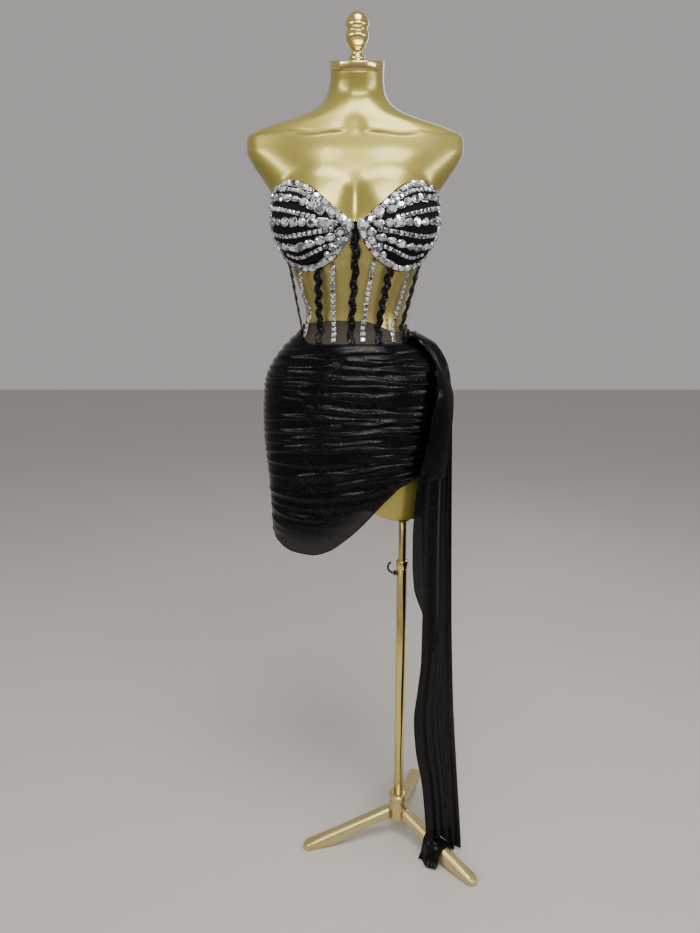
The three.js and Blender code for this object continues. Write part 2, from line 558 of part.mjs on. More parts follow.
for (const [label, side] of [['left', -1], ['right', 1]]) {
  piece(figure, `cup_${label}`, cupDish(side), BLACK_CLOTH);
  const rimStations = stoneStations(RIM.stones, true);
  const rim = strip(side, rimCurve, LARGE_STONE.wide, LARGE_STONE.high, rimStations, LIFT.rim, true);
  piece(figure, `stone_rim_${label}`, rim, CRYSTAL);
  LARGE_ROWS.forEach((row, i) => {
    const stations = stoneStations(row.stones, false);
    const stones = strip(side, rowCurve(row), LARGE_STONE.wide, LARGE_STONE.high, stations);
    piece(figure, `stone_row_${label}_${i + 1}`, stones, CRYSTAL);
  });
  SMALL_ROWS.forEach((row, i) => {
    const stations = steps(6).map((at) => ({ at, high: 1, narrow: 0.8 }));
    const stones = strip(side, rowCurve(row), SMALL_STONE.wide, SMALL_STONE.high, stations);
    piece(figure, `stone_chain_${label}_${i + 1}`, stones, CRYSTAL);
  });
}

// Corset: six panels of sheer mesh, butted with a seam gap, bones and stone chains laid on the outside
function corsetPanel(from, to, columns) {
  const turnAt = (u, z) => lerp(lerp(from.low, to.low, u), lerp(from.top, to.top, u), bridgePart(z));
  const sheet = (thick) => (u, v) => {
    const rough = lerp(lerp(from.low, to.low, u), lerp(from.top, to.top, u), v);
    const z = lerp(corsetLow(rough), corsetTop(rough), v);
    const turn = turnAt(u, z);
    return place(turn, z, corsetInside(turn, z) + thick);
  };
  return wall({ us: steps(columns), vs: steps(8), outer: sheet(WALL.mesh), inner: sheet(0) });
}
const seamTurn = 0.2;
const boneTurns = (name) => BONES.find((bone) => bone.name === name);
const frontSeam = {
  left: boneTurns('bone_front_left'),
  centre: boneTurns('bone_centre'),
  right: boneTurns('bone_front_right'),
};
const beside = (seam, by) => ({ top: seam.top + by * seamTurn / 2, low: seam.low + by * seamTurn / 2 });
const upright = (turn) => ({ top: turn, low: turn });
const PANELS = [
  { name: 'mesh_front_left', from: beside(frontSeam.left, 1), to: beside(frontSeam.centre, -1), columns: 6 },
  { name: 'mesh_front_right', from: beside(frontSeam.centre, 1), to: beside(frontSeam.right, -1), columns: 6 },
  { name: 'mesh_side_left', from: beside(upright(-90), 1), to: beside(frontSeam.left, -1), columns: 6 },
  { name: 'mesh_side_right', from: beside(frontSeam.right, 1), to: beside(upright(90), -1), columns: 6 },
  { name: 'mesh_back_left', from: beside(upright(-180), 3), to: beside(upright(-90), -1), columns: 7 },
  { name: 'mesh_back_right', from: beside(upright(90), 1), to: beside(upright(180), -3), columns: 7 },
];
PANELS.forEach((panel) => {
  piece(figure, panel.name, corsetPanel(panel.from, panel.to, panel.columns), NUDE_MESH);
});

function boneStrip(bone) {
  const spread = degrees(bone.wide / 2 / BONE_RADIUS);
  const sheet = (thick) => (u, v) => {
    const rough = lerp(bone.low, bone.top, v);
    const z = lerp(corsetLow(rough), corsetTop(rough), v);
    const turn = lerp(bone.low, bone.top, bridgePart(z)) + u;
    return place(turn, z, corsetInside(turn, z) + WALL.mesh + bone.lift + thick);
  };
  return wall({ us: [-spread, spread], vs: steps(8), outer: sheet(WALL[bone.wall]), inner: sheet(0) });
}
BONES.forEach((bone) => {
  piece(figure, bone.name, boneStrip(bone), bone.wall === 'chain' ? CRYSTAL : BLACK_CLOTH);
});

const closureSheet = (thick) => (u, v) => {
  const turn = 180 + u;
  const z = lerp(corsetLow(180) + CLOSURE.gap, corsetTop(180) - CLOSURE.gap, v);
  return place(turn, z, corsetInside(180 - sided(u), z) + WALL.mesh + CLOSURE.lift + thick);
};
const closureTurns = [-CLOSURE.halfTurn, 0, CLOSURE.halfTurn];
piece(figure, 'back_closure', wall({
  us: closureTurns, vs: steps(7), outer: closureSheet(CLOSURE.wall), inner: closureSheet(0),
}), BLACK_CLOTH);

// Skirt: a sheer waistband, a ruched front and back joined at the sides, and the train
function waistBand(from, to) {
  const sheet = (thick) => (turn, v) => {
    const z = lerp(waistSeam(turn) + SEAM, bandTop(turn), v);
    return place(turn, z, figureRadius(turn, z) + LIFT.band + thick);
  };
  return wall({ us: steps(16, from, to), vs: steps(2), outer: sheet(WALL.band), inner: sheet(0) });
}
const seamSide = 90 - seamTurn / 2;
piece(figure, 'waistband_front', waistBand(-seamSide, seamSide), SHEER_BLACK);
piece(figure, 'waistband_back', waistBand(180 - seamSide, 180 + seamSide), SHEER_BLACK);

const wrapped = (turn) => (turn > 180 ? turn - 360 : turn);
function skirtPanel(from, to, columns, rows) {
  const sheet = (thick) => (angle, v) => {
    const turn = wrapped(angle);
    const hem = along(HEM, 'turn', 'z', turn);
    const z = lerp(hem, waistSeam(turn), v);
    return place(turn, z, skirtOutside(turn, z) - thick);
  };
  return wall({ us: steps(columns, from, to), vs: steps(rows), outer: sheet(0), inner: sheet(WALL.skirt) });
}
piece(figure, 'skirt_front', skirtPanel(-seamSide, seamSide, 16, 33), GLITTER_CLOTH);
piece(figure, 'skirt_back', skirtPanel(180 - seamSide, 180 + seamSide, 12, 25), GLITTER_CLOTH);

// Train: a gathered length of cloth from the right side seam, shown as three stretches.
// The long one falls to one leg, its end lies over that leg, the short one is the flap in front.
const poleFromFigure = new THREE.Vector2(POLE_AXIS.x - FIGURE_AXIS.x, POLE_AXIS.y - FIGURE_AXIS.y);
const legTurn = radians(LEG.turns[2]);
const legTop = (far) => lerp(LEG.top, LEG.tip, clamp((far - LEG.from) / (LEG.reach - LEG.from), 0, 1));

function hangPoint(levels, sheet, t, z, thick) {
  const value = (column) => along(levels, 'z', column, z);
  const inner = new THREE.Vector2(value('inX'), value('inY'));
  const outer = new THREE.Vector2(value('outX'), value('outY'));
  const chord = outer.clone().sub(inner).normalize();
  const away = new THREE.Vector2(chord.y, -chord.x);
  const uneven = 0.8 + 0.2 * Math.sin(7 * t + 1);
  const wave = value('deep') * uneven * -Math.cos(2 * Math.PI * sheet.folds * t);
  const point = inner.lerp(outer, t).addScaledVector(away, value('bow') * 4 * t * (1 - t) + wave);
  const turn = degrees(Math.atan2(point.x, -point.y));
  const clear = z > along(HEM, 'turn', 'z', turn) - 10 ? skirtOutside(turn, z) + TRAIN_LONG.clear : 0;
  point.setLength(Math.max(point.length(), clear)).addScaledVector(away, thick);
  return new THREE.Vector3(point.x, point.y, z);
}

// The end of the train lies over the leg like a saddle, and the hem of the long fall stays above it
const saddleLevel = (far, rise) => lerp(TRAIN_END.floor, legTop(far) + TRAIN_END.clear, rise);

function longHem(t) {
  const low = hangPoint(TRAIN_LEVELS, TRAIN_LONG, t, TRAIN_LONG.hem, WALL.train / 2);
  const east = low.x - poleFromFigure.x;
  const north = low.y - poleFromFigure.y;
  const far = east * Math.cos(legTurn) + north * Math.sin(legTurn);
  const beside = Math.abs(-east * Math.sin(legTurn) + north * Math.cos(legTurn));
  const rise = along(SADDLE, 'across', 'rise', beside / TRAIN_END.spread);
  return Math.max(TRAIN_LONG.hem, saddleLevel(far, rise) + TRAIN_LONG.overEnd);
}

function trainSheet(levels, sheet, hem, thick) {
  return (t, v) => hangPoint(levels, sheet, t, lerp(hem(t), sheet.top, v), thick);
}
piece(figure, 'train_long', wall({
  us: steps(TRAIN_LONG.folds * 4),
  vs: steps(16).map((v) => 1 - (1 - v) ** 1.5),
  outer: trainSheet(TRAIN_LEVELS, TRAIN_LONG, longHem, WALL.train),
  inner: trainSheet(TRAIN_LEVELS, TRAIN_LONG, longHem, 0),
}), GLITTER_CLOTH);
function saddleSheet(thick) {
  return (column, far) => {
    const { across, rise } = SADDLE[Math.abs(column)];
    const waver = 1 + TRAIN_END.waver * Math.sin(0.16 * far + column);
    const side = Math.sign(column) * thick * (1 - rise);
    return new THREE.Vector3(
      far, Math.sign(column) * across * waver + side, saddleLevel(far, rise) + thick * (0.35 + 0.65 * rise));
  };
}
piece(stand, 'train_end', wall({
  us: steps(8, -4, 4),
  vs: steps(6, TRAIN_END.from, TRAIN_END.to),
  outer: saddleSheet(TRAIN_END.wall),
  inner: saddleSheet(0),
}), GLITTER_CLOTH).rotation.z = legTurn;
const flapHem = (t) => along(FLAP_HEM, 't', 'z', t);
piece(figure, 'train_flap', wall({
  us: steps(FLAP_SHEET.folds * 5),
  vs: steps(10),
  outer: trainSheet(FLAP_LEVELS, FLAP_SHEET, flapHem, FLAP_SHEET.offset + WALL.train),
  inner: trainSheet(FLAP_LEVELS, FLAP_SHEET, flapHem, FLAP_SHEET.offset),
}), GLITTER_CLOTH);

// Pole: the upper tube enters the form through a socket ring and slides in the lower tube
const poleTop = FORM.bottom - SEAM;
const upperPole = [[0, TUBE.upperFrom], [TUBE.upper, TUBE.upperFrom], [TUBE.upper, poleTop], [0, poleTop]];
piece(stand, 'pole_upper', turned(upperPole), BRASS);
piece(stand, 'form_socket',
  ring(SOCKET.inner, SOCKET.outer, FORM.bottom - SOCKET.height, poleTop), DARK_METAL);
piece(stand, 'pole_lower', ring(TUBE.bore, TUBE.lower, HUB_TOP + SEAM, TUBE.lowerTop), BRASS);
piece(stand, 'pole_collar', ring(COLLAR.inner, COLLAR.outer, COLLAR.from, COLLAR.to), BRASS);

// Lock screw: a bent rod in a drilled boss on the lower tube
const boss = ring(LOCK.bore, LOCK.boss, LOCK.bossFrom, LOCK.bossTo).rotateY(-Math.PI / 2);
piece(stand, 'lock_boss', boss.translate(0, 0, LOCK.z), DARK_METAL);
const rodRoute = new THREE.CatmullRomCurve3([
  [-11.2, 0], [-18, 0], [-23, 2], [-27.5, 7], [-28.5, 13.5], [-26, 19.5], [-22.5, 22.5],
].map(([x, z]) => new THREE.Vector3(x, 0, LOCK.z + z)));
const rodSection = new THREE.Shape().absarc(0, 0, LOCK.rod, 0, 2 * Math.PI);
piece(stand, 'lock_screw',
  new THREE.ExtrudeGeometry(rodSection, { steps: 14, curveSegments: 4, extrudePath: rodRoute }), DARK_METAL);

// Tripod foot: a turned hub and three ridged legs that rest on the floor at their ends
piece(stand, 'stand_hub', turned(HUB), SATIN_GOLD);
function legRing(far) {
  const rounding = clamp((LEG.reach - far) / LEG.half, 0.08, 1);
  const half = LEG.half * Math.sqrt(1 - (1 - rounding) ** 2);
  const low = LEG.arch * (1 - smoothstep(far, LEG.from, LEG.footFrom));
  const top = legTop(far) - (rounding < 1 ? 4 * (1 - rounding) : 0);
  const shoulder = lerp(low, top, 0.55);
  const section = [[-1, low], [1, low], [0.94, shoulder], [0.45, top], [-0.45, top], [-0.94, shoulder]];
  return section.map(([across, z]) => new THREE.Vector3(far, across * half, z));
}
const legEnd = [26, 12, 7, 3, 0].map((before) => LEG.reach - before);
const legStations = [...steps(6, LEG.from, LEG.footFrom), ...legEnd];
LEG.turns.forEach((turn, i) => {
  piece(stand, `stand_leg_${i + 1}`, loft(legStations.map(legRing)), SATIN_GOLD).rotation.z = radians(turn);
});

export default costume;
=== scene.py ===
import math

import bpy
import numpy as np
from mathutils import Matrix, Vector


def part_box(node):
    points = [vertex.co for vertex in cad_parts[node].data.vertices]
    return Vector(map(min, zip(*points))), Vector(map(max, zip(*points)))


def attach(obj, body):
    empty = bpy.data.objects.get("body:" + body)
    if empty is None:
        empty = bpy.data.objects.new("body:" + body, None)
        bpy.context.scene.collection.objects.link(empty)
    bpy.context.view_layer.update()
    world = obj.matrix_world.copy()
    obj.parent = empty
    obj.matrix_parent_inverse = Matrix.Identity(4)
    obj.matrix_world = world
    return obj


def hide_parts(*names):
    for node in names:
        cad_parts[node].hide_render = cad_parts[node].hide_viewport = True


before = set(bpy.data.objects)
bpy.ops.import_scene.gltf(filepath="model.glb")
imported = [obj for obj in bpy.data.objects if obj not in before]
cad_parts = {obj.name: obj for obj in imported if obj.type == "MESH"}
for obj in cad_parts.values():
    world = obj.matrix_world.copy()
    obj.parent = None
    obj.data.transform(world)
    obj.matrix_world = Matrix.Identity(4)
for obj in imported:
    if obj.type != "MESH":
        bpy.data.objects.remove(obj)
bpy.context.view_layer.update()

# Dress form: a hollow moulded body without limbs, sprayed with khaki gold lacquer. It has a soft
# arch under it, where the pole enters, and a neck that leans forward. Sizes are millimetres, a
# turn is in degrees round the form's upright axis from the front towards +X, z is the height.
band_low, band_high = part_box("waistband_front")
FORM_AXIS = 1000 * np.array([(band_low.x + band_high.x) / 2, band_high.y, 0])
FORM_BOTTOM = 728
FORM_ARCH_TOP = 800
FORM_TOP = 1466
FORM_SIDES = 128
UNDER_CLOTH = 2
UNDER_RINGS, NECK_RINGS = 24, 24
BUST = {"turn": 39, "wide": 50, "z": 1262, "above": 98, "below": 76, "rise": 42}
CLEAVAGE = {"deep": 10, "wide": 6, "low": (1240, 1262), "high": (1300, 1356)}
COLLARBONE = {"z": 1426, "dip": 5, "dip_at": 79, "dip_wide": 28, "high": 2.4, "wide": 5, "from": 12,
              "to": 132, "fade_in": 16, "fade_out": 40, "hollow": 0.6, "hollow_above": 2.4}
THROAT = {"z": 1432, "deep": 3, "half": 14, "tall": 15}
FRONT_HALF = 89.99
BREAST = {"turn": 46, "wide": 19, "z": 1364, "tall": 24, "high": 4.5}
NECK_SOFT = {"from": 1428, "neck_rings": 17, "passes": 60}


def table(columns, rows):
    return dict(zip(columns.split(), np.array(rows, float).T))


FIGURE = table("z half front back square", [
    (600, 149, 84, 85, 2.4), (725, 155, 86, 90, 2.5), (780, 160, 91, 97, 2.5), (820, 163, 94, 103, 2.45),
    (860, 166, 97, 110, 2.4), (900, 167, 98, 115, 2.35), (940, 165, 98, 116, 2.3),
    (980, 157, 96, 112, 2.25), (1020, 139, 92, 103, 2.2), (1055, 116, 86, 90, 2.15),
    (1085, 99, 80, 78, 2.1), (1115, 95, 78, 72, 2.1), (1150, 103, 83, 73, 2.1), (1185, 116, 90, 78, 2.15),
    (1225, 129, 96, 85, 2.2), (1265, 136, 98, 90, 2.2), (1300, 143, 96, 92, 2.25),
    (1330, 156, 90, 90, 2.3), (1353, 171, 82, 86, 2.35), (1380, 189, 74, 78, 2.35),
    (1400, 197.5, 69, 72, 2.3), (1420, 197, 66, 68, 2.3), (1436, 179, 64, 67, 2.2),
    (1444, 152, 63, 66, 2.15), (1450, 122, 61, 64, 2.1), (1457, 96, 59, 61, 2.05), (1466, 76, 56, 57, 2),
])
NECK = table("step x y z half deep tilt", [
    (0, 0.5, 4, 1476, 62, 54, 2), (1, 1.5, 2, 1488, 53.5, 50.5, 6), (2, 2.5, -3, 1504, 48.5, 48.5, 11),
    (3, 3, -8, 1518, 47.2, 47.2, 15), (4, 3, -12, 1532, 47, 47, 17.4),
])
UNDERSIDE = table("x z", [
    (-160, 722), (-90, 713), (-40, 729), (18, 752), (58, 733), (76, 728), (118, 728), (160, 732),
])


def along(rows, column, at):
    """A smooth value between the rows of a table, without overshoot"""
    key, value = next(iter(rows.values())), rows[column]
    at = np.clip(at, key[0], key[-1])
    rise = np.diff(value) / np.diff(key)
    slope = np.concatenate([rise[:1], np.zeros(len(rise) - 1), rise[-1:]])
    same = np.flatnonzero(rise[:-1] * rise[1:] > 0)
    slope[same + 1] = 2 * rise[same] * rise[same + 1] / (rise[same] + rise[same + 1])
    i = np.clip(np.searchsorted(key, at, side="right") - 1, 0, len(key) - 2)
    span = key[i + 1] - key[i]
    t = (at - key[i]) / span
    blend = t * t * (3 - 2 * t)
    bend = slope[i] * t * (1 - t) ** 2 - slope[i + 1] * t * t * (1 - t)
    return value[i] + (value[i + 1] - value[i]) * blend + span * bend


def smooth_step(value, low, high):
    t = np.clip((value - low) / (high - low), 0, 1)
    return t * t * (3 - 2 * t)


def bell(value, middle=0, wide=1):
    """A soft bump that is 1 at its middle"""
    return np.exp(-((value - middle) / wide) ** 2)


def circle(count):
    """Angles spaced evenly round a circle"""
    return np.arange(count) * 2 * math.pi / count


def unit(vectors):
    return vectors / np.linalg.norm(vectors, axis=-1, keepdims=True)


def bust_rise(turn, z):
    upright = (z - BUST["z"]) / np.where(z > BUST["z"], BUST["above"], BUST["below"])
    rise = 0
    for middle in (-BUST["turn"], BUST["turn"]):
        far = ((turn - middle) / BUST["wide"]) ** 2 + upright ** 2
        rise = rise + BUST["rise"] * np.clip(1 - far, 0, None) ** 1.5
    return rise


def figure_radius(turn, z):
    sine, cosine = np.abs(np.sin(np.radians(turn))), np.cos(np.radians(turn))
    half, square = along(FIGURE, "half", z), along(FIGURE, "square", z)
    deep = np.where(cosine > 0, along(FIGURE, "front", z), along(FIGURE, "back", z))
    oval = ((sine / half) ** square + (np.abs(cosine) / deep) ** square) ** (-1 / square)
    return oval + bust_rise(turn, z)


def place(turn, z, radius):
    turn, z, radius = np.broadcast_arrays(np.radians(turn), z, radius)
    return np.stack([radius * np.sin(turn), -radius * np.cos(turn), z], -1)


def grid_faces(points, joined=False, capped=False):
    """Quads of a grid of points; joined closes each row on itself, capped closes the two ends"""
    rows, columns = points.shape[:2]
    row, column = np.meshgrid(np.arange(rows - 1), np.arange(columns - (not joined)), indexing="ij")
    beside = (column + 1) % columns
    corners = [row * columns + column, row * columns + beside]
    corners += [corners[1] + columns, corners[0] + columns]
    faces = np.stack(corners, -1).reshape(-1, 4).tolist()
    if capped:
        end = np.arange(columns)
        faces += [end[::-1].tolist(), (end + (rows - 1) * columns).tolist()]
    return faces


def put(name, data):
    made = bpy.data.objects.new(name, data)
    bpy.context.scene.collection.objects.link(made)
    return made


def piece(name, points, faces, finish, replaces=(), body="figure", axis=FORM_AXIS, smooth=True,
          second=None, **marks):
    """A named mesh in its place; second picks the faces with the second finish, and marks are
    attributes of its points or faces"""
    finishes = finish if isinstance(finish, list) else [finish]
    mesh = bpy.data.meshes.new(name)
    places = (np.asarray(points, float).reshape(-1, 3) + axis) / 1000
    mesh.from_pydata(places.tolist(), [], faces)
    mesh.polygons.foreach_set("use_smooth", [smooth] * len(faces))
    for mark, values in marks.items():
        values = np.asarray(values, np.float32)
        where = "FACE" if len(values) == len(faces) else "POINT"
        kind, field = ("FLOAT", "value") if values.ndim == 1 else ("FLOAT_VECTOR", "vector")
        mesh.attributes.new(mark, kind, where).data.foreach_set(field, values.ravel())
    for one in finishes:
        mesh.materials.append(one.material)
    if second is not None:
        mesh.polygons.foreach_set("material_index", np.asarray(second, int))
    mesh.update()
    made = put(name, mesh)
    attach(made, body)
    if replaces:
        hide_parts(*replaces)
    return made


class Wire:
    """A node's output, on which Python's operators add Math nodes"""

    def __init__(self, finish, socket):
        self.finish = finish
        self.socket = socket

    def math(self, operation, *values):
        return self.finish.add("Math", dict(enumerate(values)), operation=operation)

    def __add__(self, other):
        return self.math("ADD", self, other)

    def __sub__(self, other):
        return self.math("SUBTRACT", self, other)

    def __rsub__(self, other):
        return self.math("SUBTRACT", other, self)

    def __mul__(self, other):
        return self.math("MULTIPLY", self, other)

    def __gt__(self, other):
        return self.math("GREATER_THAN", self, other)

    __radd__ = __add__
    __rmul__ = __mul__


class Finish:
    """A material for one slot; add() makes any node from its type, its settings and its sockets"""

    def __init__(self, name, slot=""):
        self.slot = slot or name
        self.material = bpy.data.materials.new(name)
        self.material.use_nodes = True
        self.tree = self.material.node_tree
        self.tree.nodes.clear()

    def add(self, kind, sockets=None, output=0, stops=None, **settings):
        node = self.tree.nodes.new("ShaderNode" + kind)
        for key, value in settings.items():
            setattr(node, key, value)
        for i, (at, colour) in enumerate(stops or []):
            while len(node.color_ramp.elements) <= i:
                node.color_ramp.elements.new(1)
            node.color_ramp.elements[i].position = at
            node.color_ramp.elements[i].color = (*colour, 1)
        for key, value in (sockets or {}).items():
            if isinstance(value, Wire):
                self.tree.links.new(value.socket, node.inputs[key])
            elif isinstance(value, tuple) and node.inputs[key].type == "RGBA":
                node.inputs[key].default_value = (*value, 1)
            else:
                node.inputs[key].default_value = value
        return Wire(self, node.outputs[output]) if node.outputs else None

    def mixed(self, amount, low, high):
        sockets = {"Factor": amount, 6: low, 7: high}
        return self.add("Mix", sockets, output=2, data_type="RGBA", clamp_factor=True)

    def noise(self, scale, detail=2, place=None):
        """Soft noise, from about 0.3 to 0.7, in metres of the object"""
        place = place or self.add("TexCoord", output="Object")
        return self.add("TexNoise", {"Vector": place, "Scale": scale, "Detail": detail})

    def bump(self, height, strength, distance=0.001):
        return self.add("Bump", {"Height": height, "Strength": strength, "Distance": distance})

    def surface(self, **sockets):
        named = {key.replace("_", " "): value for key, value in sockets.items()}
        self.add("OutputMaterial", {"Surface": self.add("BsdfPrincipled", named)})
        return self


def gold_lacquer():
    finish = Finish("gold_lacquer")
    cloud = finish.noise(9, 3)
    orange_peel = finish.noise(420, 2)
    base = finish.mixed(cloud, (0.36, 0.3, 0.055), (0.47, 0.4, 0.1))
    return finish.surface(
        Base_Color=base, Metallic=0.68, Roughness=0.24 + cloud * 0.14, Coat_Weight=0.5, Coat_Roughness=0.04,
        Normal=finish.bump(orange_peel, 0.08, 0.0004))


def cleavage(turn, z):
    """The valley between the breasts, above the cups"""
    window = smooth_step(z, *CLEAVAGE["low"]) * (1 - smooth_step(z, *CLEAVAGE["high"]))
    return CLEAVAGE["deep"] * window * bell(turn, 0, CLEAVAGE["wide"])


def chest(turn, z, radius):
    """Collarbones, the hollow of the throat between them, and the fullness above the cups"""
    across = np.abs(radius * np.sin(np.radians(turn)))
    line = COLLARBONE["z"] - COLLARBONE["dip"] * bell(across, COLLARBONE["dip_at"], COLLARBONE["dip_wide"])
    start, end = COLLARBONE["from"], COLLARBONE["to"]
    reach = smooth_step(across, start, start + COLLARBONE["fade_in"])
    reach = reach * (1 - smooth_step(across, end - COLLARBONE["fade_out"], end))
    off = (z - line) / COLLARBONE["wide"]
    hollow = COLLARBONE["hollow"] * bell(off, COLLARBONE["hollow_above"])
    bone = COLLARBONE["high"] * reach * (bell(off) - hollow)
    throat = THROAT["deep"] * bell(across, 0, THROAT["half"]) * bell(z, THROAT["z"], THROAT["tall"])
    breast = bell(np.abs(turn), BREAST["turn"], BREAST["wide"]) * bell(z, BREAST["z"], BREAST["tall"])
    return np.where(np.abs(turn) < FRONT_HALF, bone - throat + BREAST["high"] * breast, 0)


def form_ring(z, scale=1.0):
    """The points round one level of the body, raised to the arch of the underside near the bottom"""
    angle = circle(FORM_SIDES)
    stretch = along(FIGURE, "half", z) / along(FIGURE, "front", z)
    turn = np.degrees(np.arctan2(stretch * np.sin(angle), np.cos(angle)))
    radius = figure_radius(turn, z) - UNDER_CLOTH
    points = place(turn, z, (radius + chest(turn, z, radius) - cleavage(turn, z)) * scale)
    raised = np.clip((FORM_ARCH_TOP - z) / (FORM_ARCH_TOP - FORM_BOTTOM), 0, 1)
    points[:, 2] += raised * (along(UNDERSIDE, "z", points[:, 0]) - z)
    return points


def on_neck(points, step):
    """Points of an upright piece, set on the leaning neck at one of its steps"""
    lean = math.radians(along(NECK, "tilt", step))
    x, y, z = np.moveaxis(np.asarray(points, float), -1, 0)
    leaned = [x, y * math.cos(lean) - z * math.sin(lean), y * math.sin(lean) + z * math.cos(lean)]
    return np.stack(leaned, -1) + [along(NECK, column, step) for column in "xyz"]


def neck_ring(step):
    angle = circle(FORM_SIDES)
    half, deep = along(NECK, "half", step), along(NECK, "deep", step)
    return on_neck(np.stack([half * np.sin(angle), -deep * np.cos(angle), 0 * angle], -1), step)


body_levels = np.concatenate([np.linspace(FORM_BOTTOM, 1380, 100), np.linspace(1383, FORM_TOP, 50)])
form_points = np.array([form_ring(FORM_BOTTOM, scale) for scale in np.linspace(0.02, 0.97, UNDER_RINGS)]
                       + [form_ring(z) for z in body_levels]
                       + [neck_ring(step) for step in np.linspace(0, 4, NECK_RINGS)])
first = np.argmax(form_points[:, :, 2].min(axis=1) > NECK_SOFT["from"])
last = len(form_points) - NECK_RINGS + NECK_SOFT["neck_rings"]
for _ in range(NECK_SOFT["passes"]):
    beside = form_points[first - 1:last - 1] + form_points[first + 1:last + 1]
    form_points[first:last] = (beside + 2 * form_points[first:last]) / 4
form_faces = grid_faces(form_points, joined=True, capped=True)
piece("dress_form", form_points, form_faces, gold_lacquer(), ["form_torso"])

# Neck cap and finial: a flat polished brass lid pressed on the neck and a turned brass knob
# screwed into it, with a foot, a waist, a bulb with a groove, and a domed end.
LATHE_SIDES = 64
LATHE_CENTRE = 0.05
CAP_PROFILE = [(0, 0.3), (46.2, 0.3), (47.3, 0.8), (47.6, 2), (47.6, 13.2), (47.1, 14.5), (46, 15),
               (44.8, 15.1), (43.8, 14.6), (10, 14.6), (0, 14.6)]
FINIAL_PROFILE = [
    (0, 0), (12, 0), (13, 1), (13.3, 4), (13, 7.2), (10.8, 9.6), (9.9, 12), (9.7, 16), (10.6, 18.6),
    (13.6, 19.8), (14.3, 21.5), (14.2, 23), (15.6, 25.8), (18.4, 30), (20.1, 34), (20.5, 37.5), (19.9, 41),
    (18.3, 44.3), (17.5, 46), (17.4, 48.5), (18, 50.6), (20, 52.2), (20.4, 53.6), (19.9, 57), (18.4, 61),
    (15.9, 65), (12.1, 69), (7.4, 71.9), (3, 73.2), (0, 73.4),
]
FINIAL_FOOT = 14.9


def polished_brass():
    finish = Finish("polished_brass")
    smudge = finish.noise(24, 4)
    base = finish.mixed(smudge, (0.7, 0.56, 0.19), (0.85, 0.71, 0.3))
    return finish.surface(Base_Color=base, Metallic=1.0, Roughness=0.1 + smudge * 0.14,
                          Normal=finish.bump(finish.noise(700, 1), 0.04, 0.0003))


def turned(profile, sides=LATHE_SIDES, lift=0):
    """The points and faces of a lathe-turned piece; its profile runs from the foot up"""
    angle = circle(sides)
    profile = np.array(profile, float)
    radius, z = np.maximum(profile[:, :1], LATHE_CENTRE), profile[:, 1:] + lift
    points = np.stack([radius * np.sin(angle), -radius * np.cos(angle), z + 0 * angle], -1)
    return points, grid_faces(points, joined=True)


brass = polished_brass()
for name, profile, foot, node in (("neck_cap", CAP_PROFILE, 0, "form_neck_cap"),
                                  ("neck_finial", FINIAL_PROFILE, FINIAL_FOOT, "form_finial")):
    points, faces = turned(profile, lift=foot)
    piece(name, on_neck(points, 4), faces, brass, [node])

# Pole: two polished brass tubes, the upper one sliding in the lower one, a rolled ring where
# they meet, and a dark socket ring under the form.
pole_low, pole_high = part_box("pole_lower")
POLE_AXIS = 500 * np.array([pole_low.x + pole_high.x, pole_low.y + pole_high.y, 0])


def dark_metal():
    finish = Finish("dark_metal")
    wear = finish.noise(60, 3)
    base = finish.mixed(wear, (0.018, 0.015, 0.012), (0.06, 0.05, 0.04))
    return finish.surface(Base_Color=base, Metallic=0.85, Roughness=0.28 + wear * 0.2)


def tube_profile(node, wall, rim):
    """A tube's closed profile from its node's own size, with its edges rounded"""
    low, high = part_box(node)
    outer, z0, z1 = 500 * (high.x - low.x), 1000 * low.z, 1000 * high.z
    inner = outer - wall
    return [(inner, z0 + rim), (inner + rim, z0), (outer - rim, z0), (outer, z0 + rim),
            (outer, z1 - rim), (outer - rim, z1), (inner + rim, z1), (inner, z1 - rim), (inner, z0 + rim)]


iron = dark_metal()
for name, node, wall, rim, finish, body in (
        ("upper_tube", "pole_upper", 1.2, 0.5, brass, "figure"),
        ("lower_tube", "pole_lower", 1.9, 0.5, brass, "stand"),
        ("tube_ring", "pole_collar", 1.8, 0.5, brass, "stand"),
        ("socket_ring", "form_socket", 5, 1, iron, "figure")):
    points, faces = turned(tube_profile(node, wall, rim))
    piece(name, points, faces, finish, [node], body, POLE_AXIS)

# Lock screw: a dark rod bent to a small hook, screwed into a drilled boss on the lower tube.
LOCK_LEVEL = 603
ROD_RADIUS = 2
ROD_ROUTE = [(-11.2, 0), (-18, 0), (-23, 2), (-27.5, 7), (-28.5, 13.5), (-26, 19.5), (-22.5, 22.5)]
BOSS_PROFILE = [(2.7, 10.8), (4.6, 10.8), (5, 11.2), (5, 16.4), (4.5, 17), (3.1, 17), (2.7, 16.6),
                (2.7, 10.8)]


def smooth_path(points, closed=False, steps=16):
    """A smooth curve through points in two or three dimensions"""
    points = np.asarray(points, float)
    ends = (points[-1:], points[:2]) if closed else (2 * points[:1] - points[1:2],
                                                     2 * points[-1:] - points[-2:-1])
    run = np.concatenate([ends[0], points, ends[1]])[:, None]
    a, b, c, d = run[:-3], run[1:-2], run[2:-1], run[3:]
    t = np.linspace(0, 1, steps, endpoint=False)[None, :, None]
    curve = b + 0.5 * t * (c - a + t * (2 * a - 5 * b + 4 * c - d + t * (3 * b - a - 3 * c + d)))
    curve = curve.reshape(-1, points.shape[1])
    return np.concatenate([curve, points[:1] if closed else points[-1:]])


def spaced(path, at):
    """Points at shares of a path's length, from 0 to 1"""
    far = np.concatenate([[0], np.cumsum(np.linalg.norm(np.diff(path, axis=0), axis=1))])
    return np.stack([np.interp(np.asarray(at) * far[-1], far, axis) for axis in path.T], -1)


